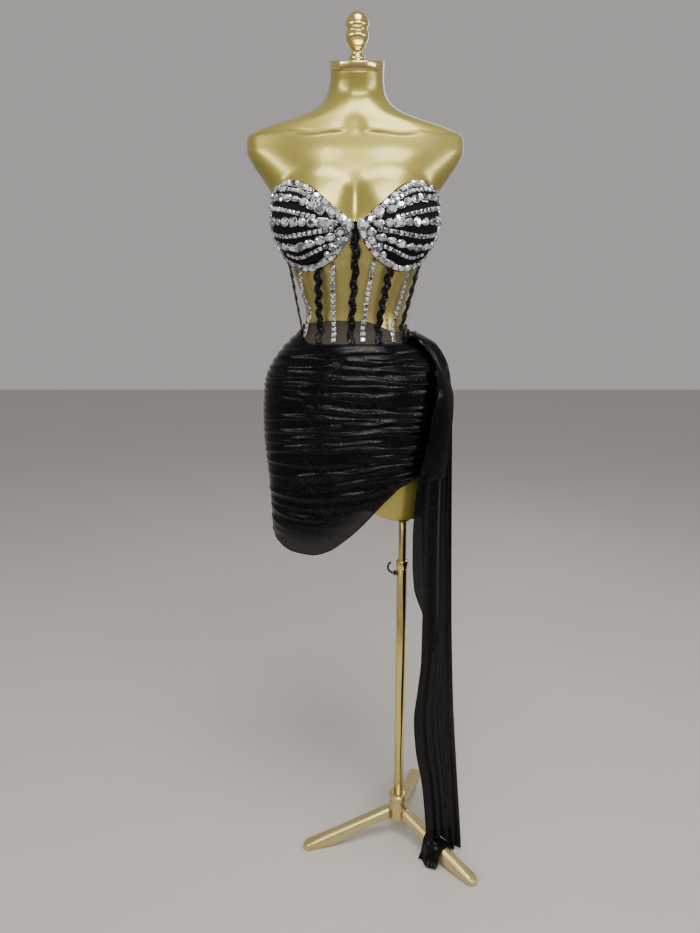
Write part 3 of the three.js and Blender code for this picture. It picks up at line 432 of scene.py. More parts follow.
def rod(path, radius, sides=12, closed=False):
    """The points and faces of a round rod along a path"""
    if closed:
        ahead = unit(np.roll(path, -1, axis=0) - np.roll(path, 1, axis=0))
    else:
        ahead = unit(np.gradient(path, axis=0))
    steady = np.where(np.abs(ahead[:, 2:]) > 0.9, [[0, 1, 0]], [[0, 0, 1]])
    side = unit(np.cross(ahead, steady))
    up = np.cross(side, ahead)
    angle = circle(sides)[:, None]
    points = path[:, None] + radius * (np.cos(angle) * side[:, None] + np.sin(angle) * up[:, None])
    if closed:
        round_again = np.concatenate([points, points[:1]])
        faces = (np.array(grid_faces(round_again, joined=True)) % (len(path) * sides)).tolist()
    else:
        faces = grid_faces(points, joined=True, capped=True)
    return points.reshape(-1, 3), faces


rod_path = spaced(smooth_path([(x, 0, LOCK_LEVEL + z) for x, z in ROD_ROUTE]), np.linspace(0, 1, 40))
piece("lock_rod", *rod(rod_path, ROD_RADIUS, 16), iron, ["lock_screw"], "lock", POLE_AXIS)
points, faces = turned(BOSS_PROFILE, 32)
points = np.stack([-points[..., 2], points[..., 1], points[..., 0] + LOCK_LEVEL], -1)
piece("lock_boss_turned", points, faces, iron, ["lock_boss"], "stand", POLE_AXIS)

# Tripod foot: a turned hub and three pressed legs with a soft ridge, satin gold, resting on the
# floor at their rounded ends.
HUB_PROFILE = [
    (0, 34), (14, 34), (15.4, 34.8), (20.2, 39), (21, 40.6), (21, 69.4), (20.4, 71), (16.6, 76.2),
    (16, 77.6), (16, 80.4), (16.8, 81.4), (19.4, 82.4), (20, 83.4), (20, 93.2), (19.2, 94.4), (14.6, 96.8),
    (13, 97), (0, 97),
]
LEG = {"turns": (74, 194, 314), "from": 21.4, "reach": 211, "half": 13, "top": 68, "tip": 13,
       "tip_drop": 4, "foot_from": 168, "arch": 42, "middle": 0.45}
LEG_BEND = {"side": 0.7, "above": 0.9, "below": 0.35}
LEG_SIDES = 24


def satin_gold():
    finish = Finish("satin_gold")
    rub = finish.noise(40, 4)
    base = finish.mixed(rub, (0.56, 0.45, 0.19), (0.72, 0.6, 0.29))
    return finish.surface(Base_Color=base, Metallic=0.9, Roughness=0.2 + rub * 0.22,
                          Normal=finish.bump(finish.noise(520, 2), 0.06, 0.0003))


def leg_top(far):
    t = np.clip((far - LEG["from"]) / (LEG["reach"] - LEG["from"]), 0, 1)
    return LEG["top"] + (LEG["tip"] - LEG["top"]) * t


def leg_ring(far):
    """A section of the leg: a soft ridge above, a squarer edge below, and a rounded tip"""
    rounding = np.clip((LEG["reach"] - far) / LEG["half"], 0.02, 1)
    half = LEG["half"] * math.sqrt(1 - (1 - rounding) ** 2)
    low = LEG["arch"] * (1 - smooth_step(far, LEG["from"], LEG["foot_from"]))
    top = leg_top(far) - LEG["tip_drop"] * (1 - rounding)
    middle = low + (top - low) * LEG["middle"]
    sine, cosine = np.sin(circle(LEG_SIDES)), np.cos(circle(LEG_SIDES))
    across = half * np.sign(sine) * np.abs(sine) ** LEG_BEND["side"]
    above = (top - middle) * np.abs(cosine) ** LEG_BEND["above"]
    below = (middle - low) * np.abs(cosine) ** LEG_BEND["below"]
    return np.stack([far + 0 * sine, across, middle + np.where(cosine > 0, above, -below)], -1)


gold = satin_gold()
piece("tripod_hub", *turned(HUB_PROFILE), gold, ["stand_hub"], "stand", POLE_AXIS)
leg_stations = np.concatenate([np.linspace(LEG["from"], LEG["reach"] - LEG["half"], 40),
                               LEG["reach"] - LEG["half"] * np.cos(np.linspace(0.1, 0.5, 12) * math.pi)])
leg_points = np.array([leg_ring(far) for far in leg_stations])
leg_faces = grid_faces(leg_points, joined=True, capped=True)


def turned_to(points, turn):
    """Points laid along +X, swung round the pole to a turn counted from +X"""
    cosine, sine = math.cos(math.radians(turn)), math.sin(math.radians(turn))
    x, y, z = np.moveaxis(np.asarray(points), -1, 0)
    return np.stack([x * cosine - y * sine, x * sine + y * cosine, z], -1)


for i, turn in enumerate(LEG["turns"], 1):
    swung = turned_to(leg_points, turn)
    piece(f"tripod_leg_{i}", swung, leg_faces, gold, [f"stand_leg_{i}"], "stand", POLE_AXIS)

# Cups: foam moulded to the bust and covered in matt black cloth, with the edge rolled under.
# The two are a mirrored pair and meet at the middle of the front.
CUP_LIFT = 1.5
CUP_THICK = 3
CUP_REACH = 150
CUP_MIDDLE = (41, 1258)
CUP_OUTLINE = [
    (3, 1254), (4.5, 1245), (7.5, 1233), (13.5, 1218), (21.5, 1204), (33.5, 1193), (44.5, 1188),
    (57.5, 1192), (69, 1205), (75, 1225), (78, 1238), (79, 1262), (78.5, 1288), (75, 1309), (69, 1326),
    (60, 1337), (50, 1338), (37, 1327), (26.5, 1310.5), (17.5, 1293), (10, 1279), (3.5, 1267),
]
SIDES = {"left": -1, "right": 1}


def black_cloth():
    finish = Finish("black_cloth")
    weave = finish.noise(1500, 2)
    base = finish.mixed(weave, (0.002, 0.002, 0.0025), (0.008, 0.008, 0.009))
    return finish.surface(Base_Color=base, Roughness=0.85, Specular_IOR_Level=0.15,
                          Normal=finish.bump(weave, 0.4, 0.0004))


def flat_place(turn, z):
    """A place on the cup's pattern, laid flat"""
    return np.stack(np.broadcast_arrays(np.radians(turn) * CUP_REACH, z), -1)


def on_cup(flat, side, lift):
    turn = np.degrees(flat[..., 0] / CUP_REACH)
    return place(side * turn, flat[..., 1], figure_radius(turn, flat[..., 1]) + lift)


cup_edge = spaced(smooth_path(flat_place(*np.array(CUP_OUTLINE).T), closed=True), np.arange(96) / 96)
cloth = black_cloth()


def cup_shell(side):
    """Points of the shell, from its middle over the rolled edge and back under it"""
    middle = flat_place(*CUP_MIDDLE)
    over = np.linspace(0.02, 1, 26)
    crown = CUP_LIFT + CUP_THICK * np.sqrt(1 - np.clip((over - 0.9) / 0.1, 0, 1) ** 2 * 0.9)
    shares = np.concatenate([over, [1.0], np.linspace(0.985, 0.02, 12)])
    lifts = np.concatenate([crown, [CUP_LIFT + 0.4], np.full(12, CUP_LIFT)])
    rings = [on_cup(middle + (cup_edge - middle) * share, side, lift) for share, lift in zip(shares, lifts)]
    return np.array(rings)[::-side]


for label, side in SIDES.items():
    shell = cup_shell(side)
    made = piece(f"padded_cup_{label}", shell, grid_faces(shell, joined=True), cloth, [f"cup_{label}"])

# Stones on the cups: clear glass in silver-backed claw settings. A rim of large stones runs round
# each cup, with three fan rows of large stones, four rows of small square ones, and a cluster.
CUP_TOP = CUP_LIFT + CUP_THICK
RIM_INSET = 6
LARGE_ROWS = [
    ((66, 1313), (42, 1303), (22, 1281)), ((71, 1274), (42, 1266), (13.4, 1262)),
    ((64, 1236), (44, 1227), (15.4, 1243)),
]
SMALL_ROWS = [
    ((62, 1325), (43, 1318), (25, 1295)), ((70, 1297), (50, 1287), (27, 1271)),
    ((70, 1256), (46, 1244), (16.2, 1254)), ((60, 1218), (45, 1211), (17.5, 1231)),
]
CLUSTER = [
    (17.5, 1279, 17, "square"), (12, 1270, 14, "oval"), (8.5, 1259, 14, "pear"), (12.5, 1249, 14, "square"),
    (13.5, 1236, 15, "oval"), (18, 1226, 14, "square"), (24, 1215, 14, "pear"),
]
CLUSTER_STONE = {"wide": 13, "high": 5.8, "skew": 40}
RIM_STONE = {"short": 14, "long": 19, "gap": 1, "wide": 13.2, "high": 5, "skew": 8,
             "kinds": ["baguette", "oval", "oval", "square", "square"]}
LARGE_STONE = {"short": 14.5, "long": 21, "gap": 0.2, "wide": 15, "high": 5.5, "skew": 14,
               "kinds": ["oval", "oval", "pear", "square"]}
SMALL_STONE = {"short": 7.5, "long": 7.5, "gap": 2.1, "wide": 7.5, "high": 3, "skew": 0, "kinds": ["square"]}
STONE_LIFT = 0.2
STONE_SEED = 11
stone_rng = np.random.default_rng(STONE_SEED)


def stone_outline(kind):
    """The outline of a stone's girdle, one unit across"""
    if kind in ("square", "baguette"):
        cut, half = (0.36, 0.5) if kind == "square" else (0.42, 0.4)
        end = half * cut / 0.5
        return np.array([(-0.5, -end), (-cut, -half), (cut, -half), (0.5, -end),
                         (0.5, end), (cut, half), (-cut, half), (-0.5, end)])
    outline = 0.5 * np.stack([np.cos(circle(10)), np.sin(circle(10))], -1)
    if kind == "pear":
        outline[:, 1] *= 1 - 0.45 * (outline[:, 0] + 0.5)
    return outline


def stone(kind, long, wide, high):
    """A faceted stone in its setting: points, faces, each face's painted glint and its material"""
    outline = stone_outline(kind) * (long, wide)
    count = len(outline)
    between_corners = (outline + np.roll(outline, -1, axis=0)) / 2
    points = np.array([np.c_[ring * share, np.full(count, level * high)] for ring, share, level in (
        (outline, 0.94, 0), (outline, 1.05, 0.18), (outline, 1.06, 0.36), (outline, 0.98, 0.42),
        (between_corners, 0.84, 0.74), (outline, 0.56, 1))])
    faces = grid_faces(points[:4], joined=True)
    metal = [1] * len(faces) + [0] * (4 * count) + [0, 1]
    a, b, c = (np.arange(count) + ring * count for ring in (3, 4, 5))
    a_next, b_next, c_next = np.roll(a, -1), np.roll(b, -1), np.roll(c, -1)
    for facets in ((a, a_next, b), (a_next, b_next, b), (b, c_next, c), (b, b_next, c_next)):
        faces += np.stack(facets, -1).tolist()
    faces += [c.tolist(), list(range(count))[::-1]]
    # Painted glints: each facet gets a random brightness that paints it bright or dark in place of reflected
    # light
    spark = stone_rng.random(len(faces)) * np.where(np.arange(len(faces)) % 2, 0.55, 1)
    return points.reshape(-1, 3), faces, spark, metal


def joined(parts):
    """Several meshes, each with points, faces and face values, as one"""
    points, faces, extras, start = [], [], [], 0
    for part_points, part_faces, *extra in parts:
        points.append(part_points)
        faces += [[corner + start for corner in face] for face in part_faces]
        extras.append(extra)
        start += len(part_points)
    return [np.concatenate(points), faces] + [np.concatenate(values) for values in zip(*extras)]


def between(line, at):
    """Values between a line's points, at places counted in points"""
    return np.stack([np.interp(at, np.arange(len(line)), column) for column in line.T], -1)


def set_stones(path, centres, longs, kinds, sort, lift):
    """Stones along a path of points: each is laid on the surface, long way along the path"""
    parts = []
    ahead = np.gradient(path[0], axis=0)
    for share, long, kind in zip(centres, longs, kinds):
        at = share * (len(path[0]) - 1)
        here, along_it, out = (between(line, at) for line in (path[0], ahead, path[1]))
        out = unit(out)
        along_it = unit(along_it - out * (along_it @ out))
        across = np.cross(out, along_it)
        broad = sort["wide"] * stone_rng.uniform(0.9, 1.06)
        points, faces, spark, metal = stone(kind, min(long, 1.5 * sort["wide"]), broad, sort["high"])
        roll = math.radians(sort["skew"] * stone_rng.uniform(-1, 1))
        x, y = points[:, :1], points[:, 1:2]
        x, y = x * math.cos(roll) - y * math.sin(roll), x * math.sin(roll) + y * math.cos(roll)
        parts.append((here + x * along_it + y * across + (points[:, 2:] + lift) * out, faces, spark, metal))
    return joined(parts)


def cup_path(flat_path, side, lift):
    """A line on the cup and the outward direction along it"""
    here = on_cup(flat_path, side, lift)
    step = 0.4
    beside = on_cup(flat_path + (step, 0), side, lift) - here
    above = on_cup(flat_path + (0, step), side, lift) - here
    return here, np.cross(beside, above) * side


def crystal():
    finish = Finish("crystal")
    spark = finish.add("Attribute", output="Fac", attribute_name="spark")
    # Painted light: the stones' base colour runs from near black to white with each facet's random painted
    # glint value
    base = finish.add("ValToRGB", {"Fac": spark}, stops=[
        (0, (0.02, 0.024, 0.03)), (0.28, (0.16, 0.175, 0.2)), (0.5, (0.62, 0.65, 0.7)), (0.8, (1, 1, 1))])
    return finish.surface(Base_Color=base, Metallic=0.62, Roughness=0.04, Coat_Weight=1.0,
                          Coat_Roughness=0.02)


def silver():
    finish = Finish("silver_setting")
    dull = finish.noise(300, 2)
    base = finish.mixed(dull, (0.5, 0.51, 0.54), (0.7, 0.71, 0.74))
    return finish.surface(Base_Color=base, Metallic=1.0, Roughness=0.12 + dull * 0.2)


glass = [crystal(), silver()]


def stone_piece(name, made, node):
    points, faces, spark, metal = made
    piece(name, points, faces, glass, [node], smooth=False, second=metal, spark=spark)


def path_length(places):
    return np.linalg.norm(np.diff(places, axis=0), axis=1).sum()


def stones_along(line, sort, lift=STONE_LIFT):
    """Stones of one sort that fill a line side by side"""
    length, gap = path_length(line[0]), sort["gap"]
    count = round(length / ((sort["short"] + sort["long"]) / 2 + gap))
    longs = stone_rng.uniform(sort["short"], sort["long"], count)
    longs *= (length - gap * count) / longs.sum()
    centres = (np.cumsum(longs + gap) - (longs + gap) / 2) / length
    kinds = [sort["kinds"][i] for i in stone_rng.integers(len(sort["kinds"]), size=count)]
    return set_stones(line, centres, longs, kinds, sort, lift)


def row_line(row, side):
    """A fan row on the cup, through its three places"""
    return cup_path(spaced(smooth_path(flat_place(*np.array(row).T)), np.linspace(0, 1, 60)), side, CUP_TOP)


def cluster_stones(side):
    turns, levels, longs, kinds = zip(*CLUSTER)
    spots = cup_path(flat_place(turns, levels), side, CUP_TOP)
    return set_stones(spots, np.linspace(0, 1, len(CLUSTER)), longs, kinds, CLUSTER_STONE, 0.3)


edge_ahead = unit(np.roll(cup_edge, -1, axis=0) - np.roll(cup_edge, 1, axis=0))
rim_flat = cup_edge + RIM_INSET * np.stack([-edge_ahead[:, 1], edge_ahead[:, 0]], -1)
rim_flat = np.concatenate([rim_flat, rim_flat[:1]])
for label, side in SIDES.items():
    rim = stones_along(cup_path(rim_flat, side, CUP_TOP), RIM_STONE)
    stone_piece(f"rim_stones_{label}", rim, f"stone_rim_{label}")
    for i, row in enumerate(LARGE_ROWS, 1):
        made = stones_along(row_line(row, side), LARGE_STONE)
        if i == 2:
            made = joined([made, cluster_stones(side)])
        stone_piece(f"row_stones_{label}_{i}", made, f"stone_row_{label}_{i}")
    for i, row in enumerate(SMALL_ROWS, 1):
        made = stones_along(row_line(row, side), SMALL_STONE)
        stone_piece(f"chain_stones_{label}_{i}", made, f"stone_chain_{label}_{i}")

# Corset: six panels of sheer nude mesh, stretched from under the cups over the hollow of the waist
# to the skirt's band. The edges are turned in and stitched flat.
CORSET_TOP = table("turn z", [
    (0, 1247), (3, 1246), (4.5, 1241), (7.5, 1230), (13.5, 1215), (21.5, 1201), (33.5, 1190.5), (44.5, 1186),
    (57.5, 1189), (68, 1199), (75, 1216), (81, 1230), (90, 1237), (135, 1233), (180, 1227),
])
BRIDGE = {"top": 1195, "low": 1090, "blend": 20}
MESH_LIFT, MESH_UNDER_CUP = 3.4, 1.4
WAIST_FRONT, WAIST_SIDE = 1058, 1085
LINES = {
    "bone_centre": (0, -5), "chain_front_left": (-23, -25.6), "chain_front_right": (18, 9),
    "bone_front_left": (-36.5, -43), "bone_front_right": (34.6, 28), "chain_side_left": (-57, -63),
    "chain_side_right": (55, 45), "bone_side_left": (-74, -79), "bone_side_right": (70, 60),
    "bone_back_left": (-135, -137), "bone_back_right": (135, 137),
}
PANELS = {
    "front_left": (LINES["bone_front_left"], LINES["bone_centre"], (0.075, 0.18), 0.0092),
    "front_right": (LINES["bone_centre"], LINES["bone_front_right"], (0.07, 0.18), 0.0082),
    "side_left": ((-90, -90), LINES["bone_front_left"], (0.1, 0.15), 0.0122),
    "side_right": (LINES["bone_front_right"], (90, 90), (0.12, 0.15), 0.0143),
    "back_left": ((-179.7, -179.7), (-90, -90), (0.165, 0.15), 0.0224),
    "back_right": ((90, 90), (179.7, 179.7), (0.165, 0.15), 0.0224),
}
PANEL_ROWS, PANEL_COLUMNS = 56, 36
PANEL_EDGE = 0.55


def waist_seam(turn):
    return WAIST_FRONT + (WAIST_SIDE - WAIST_FRONT) * smooth_step(np.abs(turn), 50, 85)


def up_bridge(z):
    return np.clip((z - BRIDGE["low"]) / (BRIDGE["top"] - BRIDGE["low"]), 0, 1)


def corset_radius(turn, z):
    """The mesh bridges the hollow of the waist between the ribs and the band"""
    above = np.clip((z - BRIDGE["top"]) / BRIDGE["blend"], 0, 1)
    close = figure_radius(turn, z) + MESH_LIFT - MESH_UNDER_CUP * above
    low, top = figure_radius(turn, BRIDGE["low"]), figure_radius(turn, BRIDGE["top"])
    across = low + (top - low) * up_bridge(z) + MESH_LIFT
    within = (z < BRIDGE["top"]) & (z > BRIDGE["low"])
    return np.where(within, np.maximum(close, across), close)


def corset_place(top, low, share, lift):
    """A place on the corset on a line from its lower edge, at turn low, to its top, at turn top"""
    rough = low + (top - low) * share
    lowest, highest = waist_seam(rough) + 4, along(CORSET_TOP, "z", np.abs(rough))
    z = lowest + (highest - lowest) * share
    turn = low + (top - low) * up_bridge(z)
    return place(turn, z, corset_radius(turn, z) + lift)


def net_mask(finish, pitch, width):
    """The threads of a diamond net laid on a surface's own flat millimetres, as 1 on a thread"""
    lay = finish.add("Attribute", output="Vector", attribute_name="lay")
    threads = []
    for turn in (35, -35):
        swung = finish.add("VectorRotate", {"Vector": lay, "Angle": math.radians(turn)},
                           rotation_type="Z_AXIS")
        across = finish.add("SeparateXYZ", {"Vector": swung}) * (1 / pitch)
        threads.append(finish.add("Math", {0: across, 1: 1.0}, operation="PINGPONG") > (1 - width))
    return finish.add("Math", {0: threads[0], 1: threads[1]}, operation="MAXIMUM")


def nude_mesh():
    finish = Finish("nude_mesh")
    net = net_mask(finish, 0.7, 0.24)
    base = finish.mixed(finish.noise(60, 2), (0.4, 0.32, 0.22), (0.52, 0.43, 0.32))
    return finish.surface(Base_Color=base, Roughness=0.5, Alpha=0.04 + net * 0.12)


def flat_lay(points):
    """Flat millimetres across and along a grid of points, for the net and the grain"""
    across = np.cumsum(np.linalg.norm(np.diff(points, axis=1, prepend=points[:, :1]), axis=2), axis=1)
    along_it = np.cumsum(np.linalg.norm(np.diff(points, axis=0, prepend=points[:1]), axis=2), axis=0)
    middle = across[:, across.shape[1] // 2][:, None]
    return np.stack([across - middle, along_it, 0 * across], -1).reshape(-1, 3)


def edged(points, radius):
    """A thin rolled edge round a grid of points"""
    border = np.concatenate([points[0], points[1:, -1], points[-1, -2::-1], points[-2:0:-1, 0]])
    keep = np.concatenate([[True], np.linalg.norm(np.diff(border, axis=0), axis=1) > 0.05])
    return rod(border[keep], radius, 6, closed=True)


def cloth_piece(name, edge_name, points, edge_radius, finish, node, sheet, axis=FORM_AXIS, **marks):
    """A cloth piece and its rolled edge; sheet, what it is cut from and how it is held, is not used"""
    made = piece(name, points, grid_faces(points), finish, [node], axis=axis, **marks)
    rolled = piece(edge_name, *edged(points, edge_radius), finish, axis=axis)


def share_grid(rows, columns, start=0, end=1):
    """Shares up a piece, and places across it from start to end"""
    return np.meshgrid(np.linspace(0, 1, rows), np.linspace(start, end, columns), indexing="ij")


nude = nude_mesh()
for label, (start, end, flat, area) in PANELS.items():
    share, across = share_grid(PANEL_ROWS, PANEL_COLUMNS)
    top = start[0] + (end[0] - start[0]) * across
    low = start[1] + (end[1] - start[1]) * across
    points = corset_place(top, low, share, 0)
    sheet = dict(flat=flat, area=area, held="stretched", rests_on=["form_torso"])
    cloth_piece(f"sheer_panel_{label}", f"panel_edge_{label}", points, PANEL_EDGE, nude, f"mesh_{label}",
                sheet, lay=flat_lay(points))

# Bones and chains: black bones covered in rows of wavy sequins, and chains of small square stones
# in silver settings, both sewn on the outside of the mesh.
BONE_OUT, CHAIN_OUT = 1.4, 1.4
BONE_TAPE = ((-2.4, 0.35), (-1.7, 1.1), (1.7, 1.1), (2.4, 0.35))
BONE_LINES = (-2.5, -0.9, 0.9, 2.5)
BONE_SWAY, SWAY_WAVES = 1.2, 38
BONE_TOPS = {"bone_centre": 1.11}
SEQUIN = {"radius": 2.3, "pitch": 2.4, "above": 0.6, "dome": 0.35}
CHAIN_STONE = {**SMALL_STONE, "short": 8, "long": 8, "wide": 8, "gap": 1.9, "high": 3.2}
BUCKLE = {"chain_side_left": 9}
BUCKLE_LEVEL, BUCKLE_HIGH = 0.43, 0.15


def sequin_cloth():
    finish = Finish("black_sequins", "black_cloth")
    spark = finish.add("Attribute", output="Fac", attribute_name="spark")
    # Painted light: a few sequins are painted grey by their random painted glint value, as if they caught
    # the light
    base = finish.add("ValToRGB", {"Fac": spark}, stops=[
        (0, (0.002, 0.002, 0.0025)), (0.7, (0.008, 0.008, 0.009)), (1, (0.09, 0.09, 0.1))])
    return finish.surface(Base_Color=base, Metallic=0.4, Roughness=0.24, Specular_IOR_Level=0.25)


def sequins(lines):
    """Overlapping round sequins along lines of places with their outward directions, each with a random
    painted glint value
    """
    parts = []
    angle = circle(8)[:, None]
    faces = [[8, k, (k + 1) % 8] for k in range(8)]
    for here, out in lines:
        count = round(path_length(here) / SEQUIN["pitch"])
        at = np.linspace(0, 1, count) * (len(here) - 1)
        spots, outs = between(here, at), unit(between(out, at))
        ahead = unit(np.gradient(spots, axis=0))
        across = np.cross(outs, ahead)
        tilt = stone_rng.uniform(0.12, 0.4, count)[:, None]
        roll = stone_rng.uniform(-0.35, 0.35, count)[:, None]
        ahead, outs = ahead + tilt * outs + roll * across, outs - tilt * ahead
        size = SEQUIN["radius"] * stone_rng.uniform(0.9, 1.08, count)[:, None, None]
        rim = spots[:, None] + size * (np.cos(angle) * ahead[:, None] + np.sin(angle) * across[:, None])
        for one, centre in zip(rim, spots + SEQUIN["dome"] * outs):
            # each sequin gets one random painted glint value, mostly dark and now and then grey
            parts.append((np.concatenate([one, centre[None]]), faces, np.full(8, stone_rng.random() ** 2)))
    return joined(parts)


def corset_line(top, low, lift, sway=0.0, phase=0.0, first=0.01, last=0.99, buckle=0.0):
    """A line up the corset and its outward direction; it sways, or buckles aside, by some degrees"""
    share = np.linspace(first, last, 90)
    swing = sway * np.sin(share * SWAY_WAVES + phase) + buckle * bell(share, BUCKLE_LEVEL, BUCKLE_HIGH)
    here = corset_place(top + swing, low + swing, share, lift)
    beside = corset_place(top + swing + 0.3, low + swing + 0.3, share, lift) - here
    return here, np.cross(beside, np.gradient(here, axis=0))


shine = sequin_cloth()
for name, (top, low) in LINES.items():
    if name.startswith("chain"):
        line = corset_line(top, low, CHAIN_OUT, buckle=BUCKLE.get(name, 0))
        stone_piece(f"square_stone_{name}", stones_along(line, CHAIN_STONE, 0.1), name)
        continue
    last = BONE_TOPS.get(name, 1)
    tape = np.stack([corset_line(top + spread, low + spread, BONE_OUT * rise, BONE_SWAY, low, 0, last)[0]
                     for spread, rise in BONE_TAPE], axis=1)
    tape_faces = grid_faces(tape)
    out = BONE_OUT + SEQUIN["above"]
    coins = sequins([corset_line(top + off, low + off, out, BONE_SWAY, low, 0.01, last - 0.01)
                     for off in BONE_LINES])
    points, faces, spark = joined([(tape.reshape(-1, 3), tape_faces, np.zeros(len(tape_faces))), coins])
    piece(f"sequin_{name}", points, faces, shine, [name], smooth=False, spark=spark)

# Back closure: two black tapes that meet at the middle of the back, held by a column of small
# hooks and eyes.
CLOSURE_HALF = 5.4
HOOKS = 13
HOOK_ROUTE = ((-3.4, 0, 1.9), (-1.2, 0.008, 3), (1.6, 0.006, 3), (3.4, 0, 2.1), (1.6, -0.006, 3),
              (-1.2, -0.008, 3))
HOOK_WIRE = 0.45
share, spread = np.meshgrid(np.linspace(0.004, 0.996, 60), np.linspace(-CLOSURE_HALF, CLOSURE_HALF, 15),
                            indexing="ij")
tape = corset_place(180 + spread, 180 + spread, share, 1.7 - 0.9 * bell(spread, 0, 0.35))
tape = place(180 + spread, tape[..., 2], np.hypot(tape[..., 0], tape[..., 1]))
closure_parts = [(tape.reshape(-1, 3), grid_faces(tape))]
for level in np.linspace(0.05, 0.95, HOOKS):
    ends = [corset_place(180, 180, np.array(level + rise), lift) + (shift, 0, 0)
            for shift, rise, lift in HOOK_ROUTE]
    wire = spaced(smooth_path(ends, closed=True), np.arange(20) / 20)
    closure_parts.append(rod(wire, HOOK_WIRE, 6, closed=True))
points, faces = joined(closure_parts)
is_wire = np.arange(len(faces)) >= len(closure_parts[0][1])
piece("hook_and_eye_tape", points, faces, [cloth, iron], ["back_closure"], second=is_wire)

# Skirt's band: sheer black stretch mesh, one piece in front and one behind, sewn to the skirt's
# upper edge. It lies close on the form, inside the corset's lower edge.
BAND_LIFT = 1.5
BAND_EDGE = 0.6
BAND_TOP = {"z": 1102, "drop": 7, "pull": 18, "pull_at": 50, "pull_wide": 24}
BAND_CUTS = {"front": ((0.29, 0.044), 0.009), "back": ((0.285, 0.0105), 0.0029)}
HALVES = {"front": (-90, 90), "back": (90, 270)}


def band_top(turn):
    """The upper edge is pulled down a little on the right"""
    pull = BAND_TOP["pull"] * bell(turn, BAND_TOP["pull_at"], BAND_TOP["pull_wide"])
    return BAND_TOP["z"] - BAND_TOP["drop"] * smooth_step(np.abs(turn), 30, 80) - pull


def half_grid(half, rows, columns):
    """Shares up a front or back piece, and turns across it"""
    level, turn = share_grid(rows, columns, *HALVES[half])
    return level, np.where(turn > 180, turn - 360, turn)


def sheer_black():
    finish = Finish("sheer_black")
    net = net_mask(finish, 0.55, 0.4)
    base = finish.mixed(finish.noise(50, 3), (0.003, 0.003, 0.003), (0.009, 0.009, 0.009))
    return finish.surface(Base_Color=base, Roughness=0.6, Alpha=0.94 + net * 0.05, Specular_IOR_Level=0.2)


sheer = sheer_black()
for label, (flat, area) in BAND_CUTS.items():
    level, turn = half_grid(label, 18, 120)
    low = waist_seam(turn)
    z = low + (band_top(turn) - low) * level
    points = place(turn, z, figure_radius(turn, z) + BAND_LIFT)
    sheet = dict(flat=flat, area=area, held="stretched", rests_on=["form_torso"])
    cloth_piece(f"sheer_band_{label}", f"band_edge_{label}", points, BAND_EDGE, sheer, f"waistband_{label}",
                sheet, lay=flat_lay(points))

# Skirt: semi-sheer black mesh with a grainy glitter, one front and one back, ruched along the
# side seams so that the folds run across. The hem rises towards the right side.
HEM = table("turn z", [
    (-180, 706), (-135, 699), (-90, 704), (-74, 679), (-60, 664), (-45, 661), (-30, 670), (-12, 692),
    (5, 716), (19, 741), (33, 772), (46, 800), (65, 822), (90, 815), (135, 745), (180, 706),
])
EASE = table("below front side", [
    (0, 2.8, 6), (14, 6.5, 12), (40, 7, 20), (70, 6.5, 21), (97, 6, 18), (136, 6, 12), (215, 6, 9),
    (297, 6, 7.5), (380, 7, 10.5), (440, 8, 11),
])
# Each fold has its levels at three turns, its first and last turn, its height and its width
FOLDS = [
    (1048, 1052, 1054, -92, 30, 3, 4), (1038, 1046, 1050, -92, 76, 5, 7),
    (1040, 1037, 1034, 0, 92, 3.5, 4), (1031, 1031, 1026, -24, 92, 4, 6),
    (1018, 1020, 1010, -92, -20, 2.6, 5), (1012, 1014, 1012, 20, 92, 3, 5),
    (1001, 998, 989, -92, 92, 5, 5), (992, 988, 982, 10, 92, 2.6, 4), (985, 984, 984, -92, -36, 2.4, 4),
    (972, 967, 968, -56, 46, 4, 5), (962, 958, 951, -92, 0, 2, 4), (950, 940, 931, -50, 92, 5, 6),
    (944, 946, 944, 22, 92, 2.4, 4), (931, 926, 920, -92, 60, 2.6, 4), (920, 932, 934, -92, -22, 4, 5),
    (908, 916, 918, -20, 92, 3, 4), (896, 911, 924, -92, 48, 5, 5), (886, 898, 904, -60, 92, 3, 4),
    (877, 893, 902, -92, 92, 5, 5), (868, 879, 882, -92, 40, 3, 4), (860, 870, 867, -92, 92, 5, 5),
    (846, 850, 862, -14, 92, 3.5, 5), (838, 842, 850, -92, 20, 2.6, 5), (822, 835, 850, 0, 92, 3.2, 4),
    (812, 826, 842, -92, 60, 2.6, 5), (803, 822, 839, -62, 92, 6, 7), (790, 802, 822, -34, 80, 4, 5),
    (784, 792, 812, 20, 92, 3, 4), (777, 779, 808, -92, 70, 5.5, 7), (757, 758, 790, -92, 40, 2.6, 6),
    (741, 735, 780, -92, -30, 6, 8), (728, 722, 770, -70, 10, 2.6, 7), (716, 706, 760, -92, -50, 5, 7),
    (700, 700, 750, -92, -56, 3, 6),
]
FOLD_STATIONS = (-75, -10, 55)
FOLD_FADE = 18
FOLD_SHAPE = {"high": 0.7, "wide": 0.8, "above": 0.85, "below": 1.5, "trough": 0.3, "trough_at": -1.7,
              "waver": 1.2, "deepest": -1.8}
BACK_DROP = 22
SKIRT_SINK, SKIRT_EDGE = 0.7, 0.9
GATHER = {"high": 3.2, "pitch": 12.5, "reach": 11, "sink": 0.35}
SKIRT_CUTS = {"front": ((0.42, 0.46), 0.168), "back": ((0.42, 0.48), 0.186)}


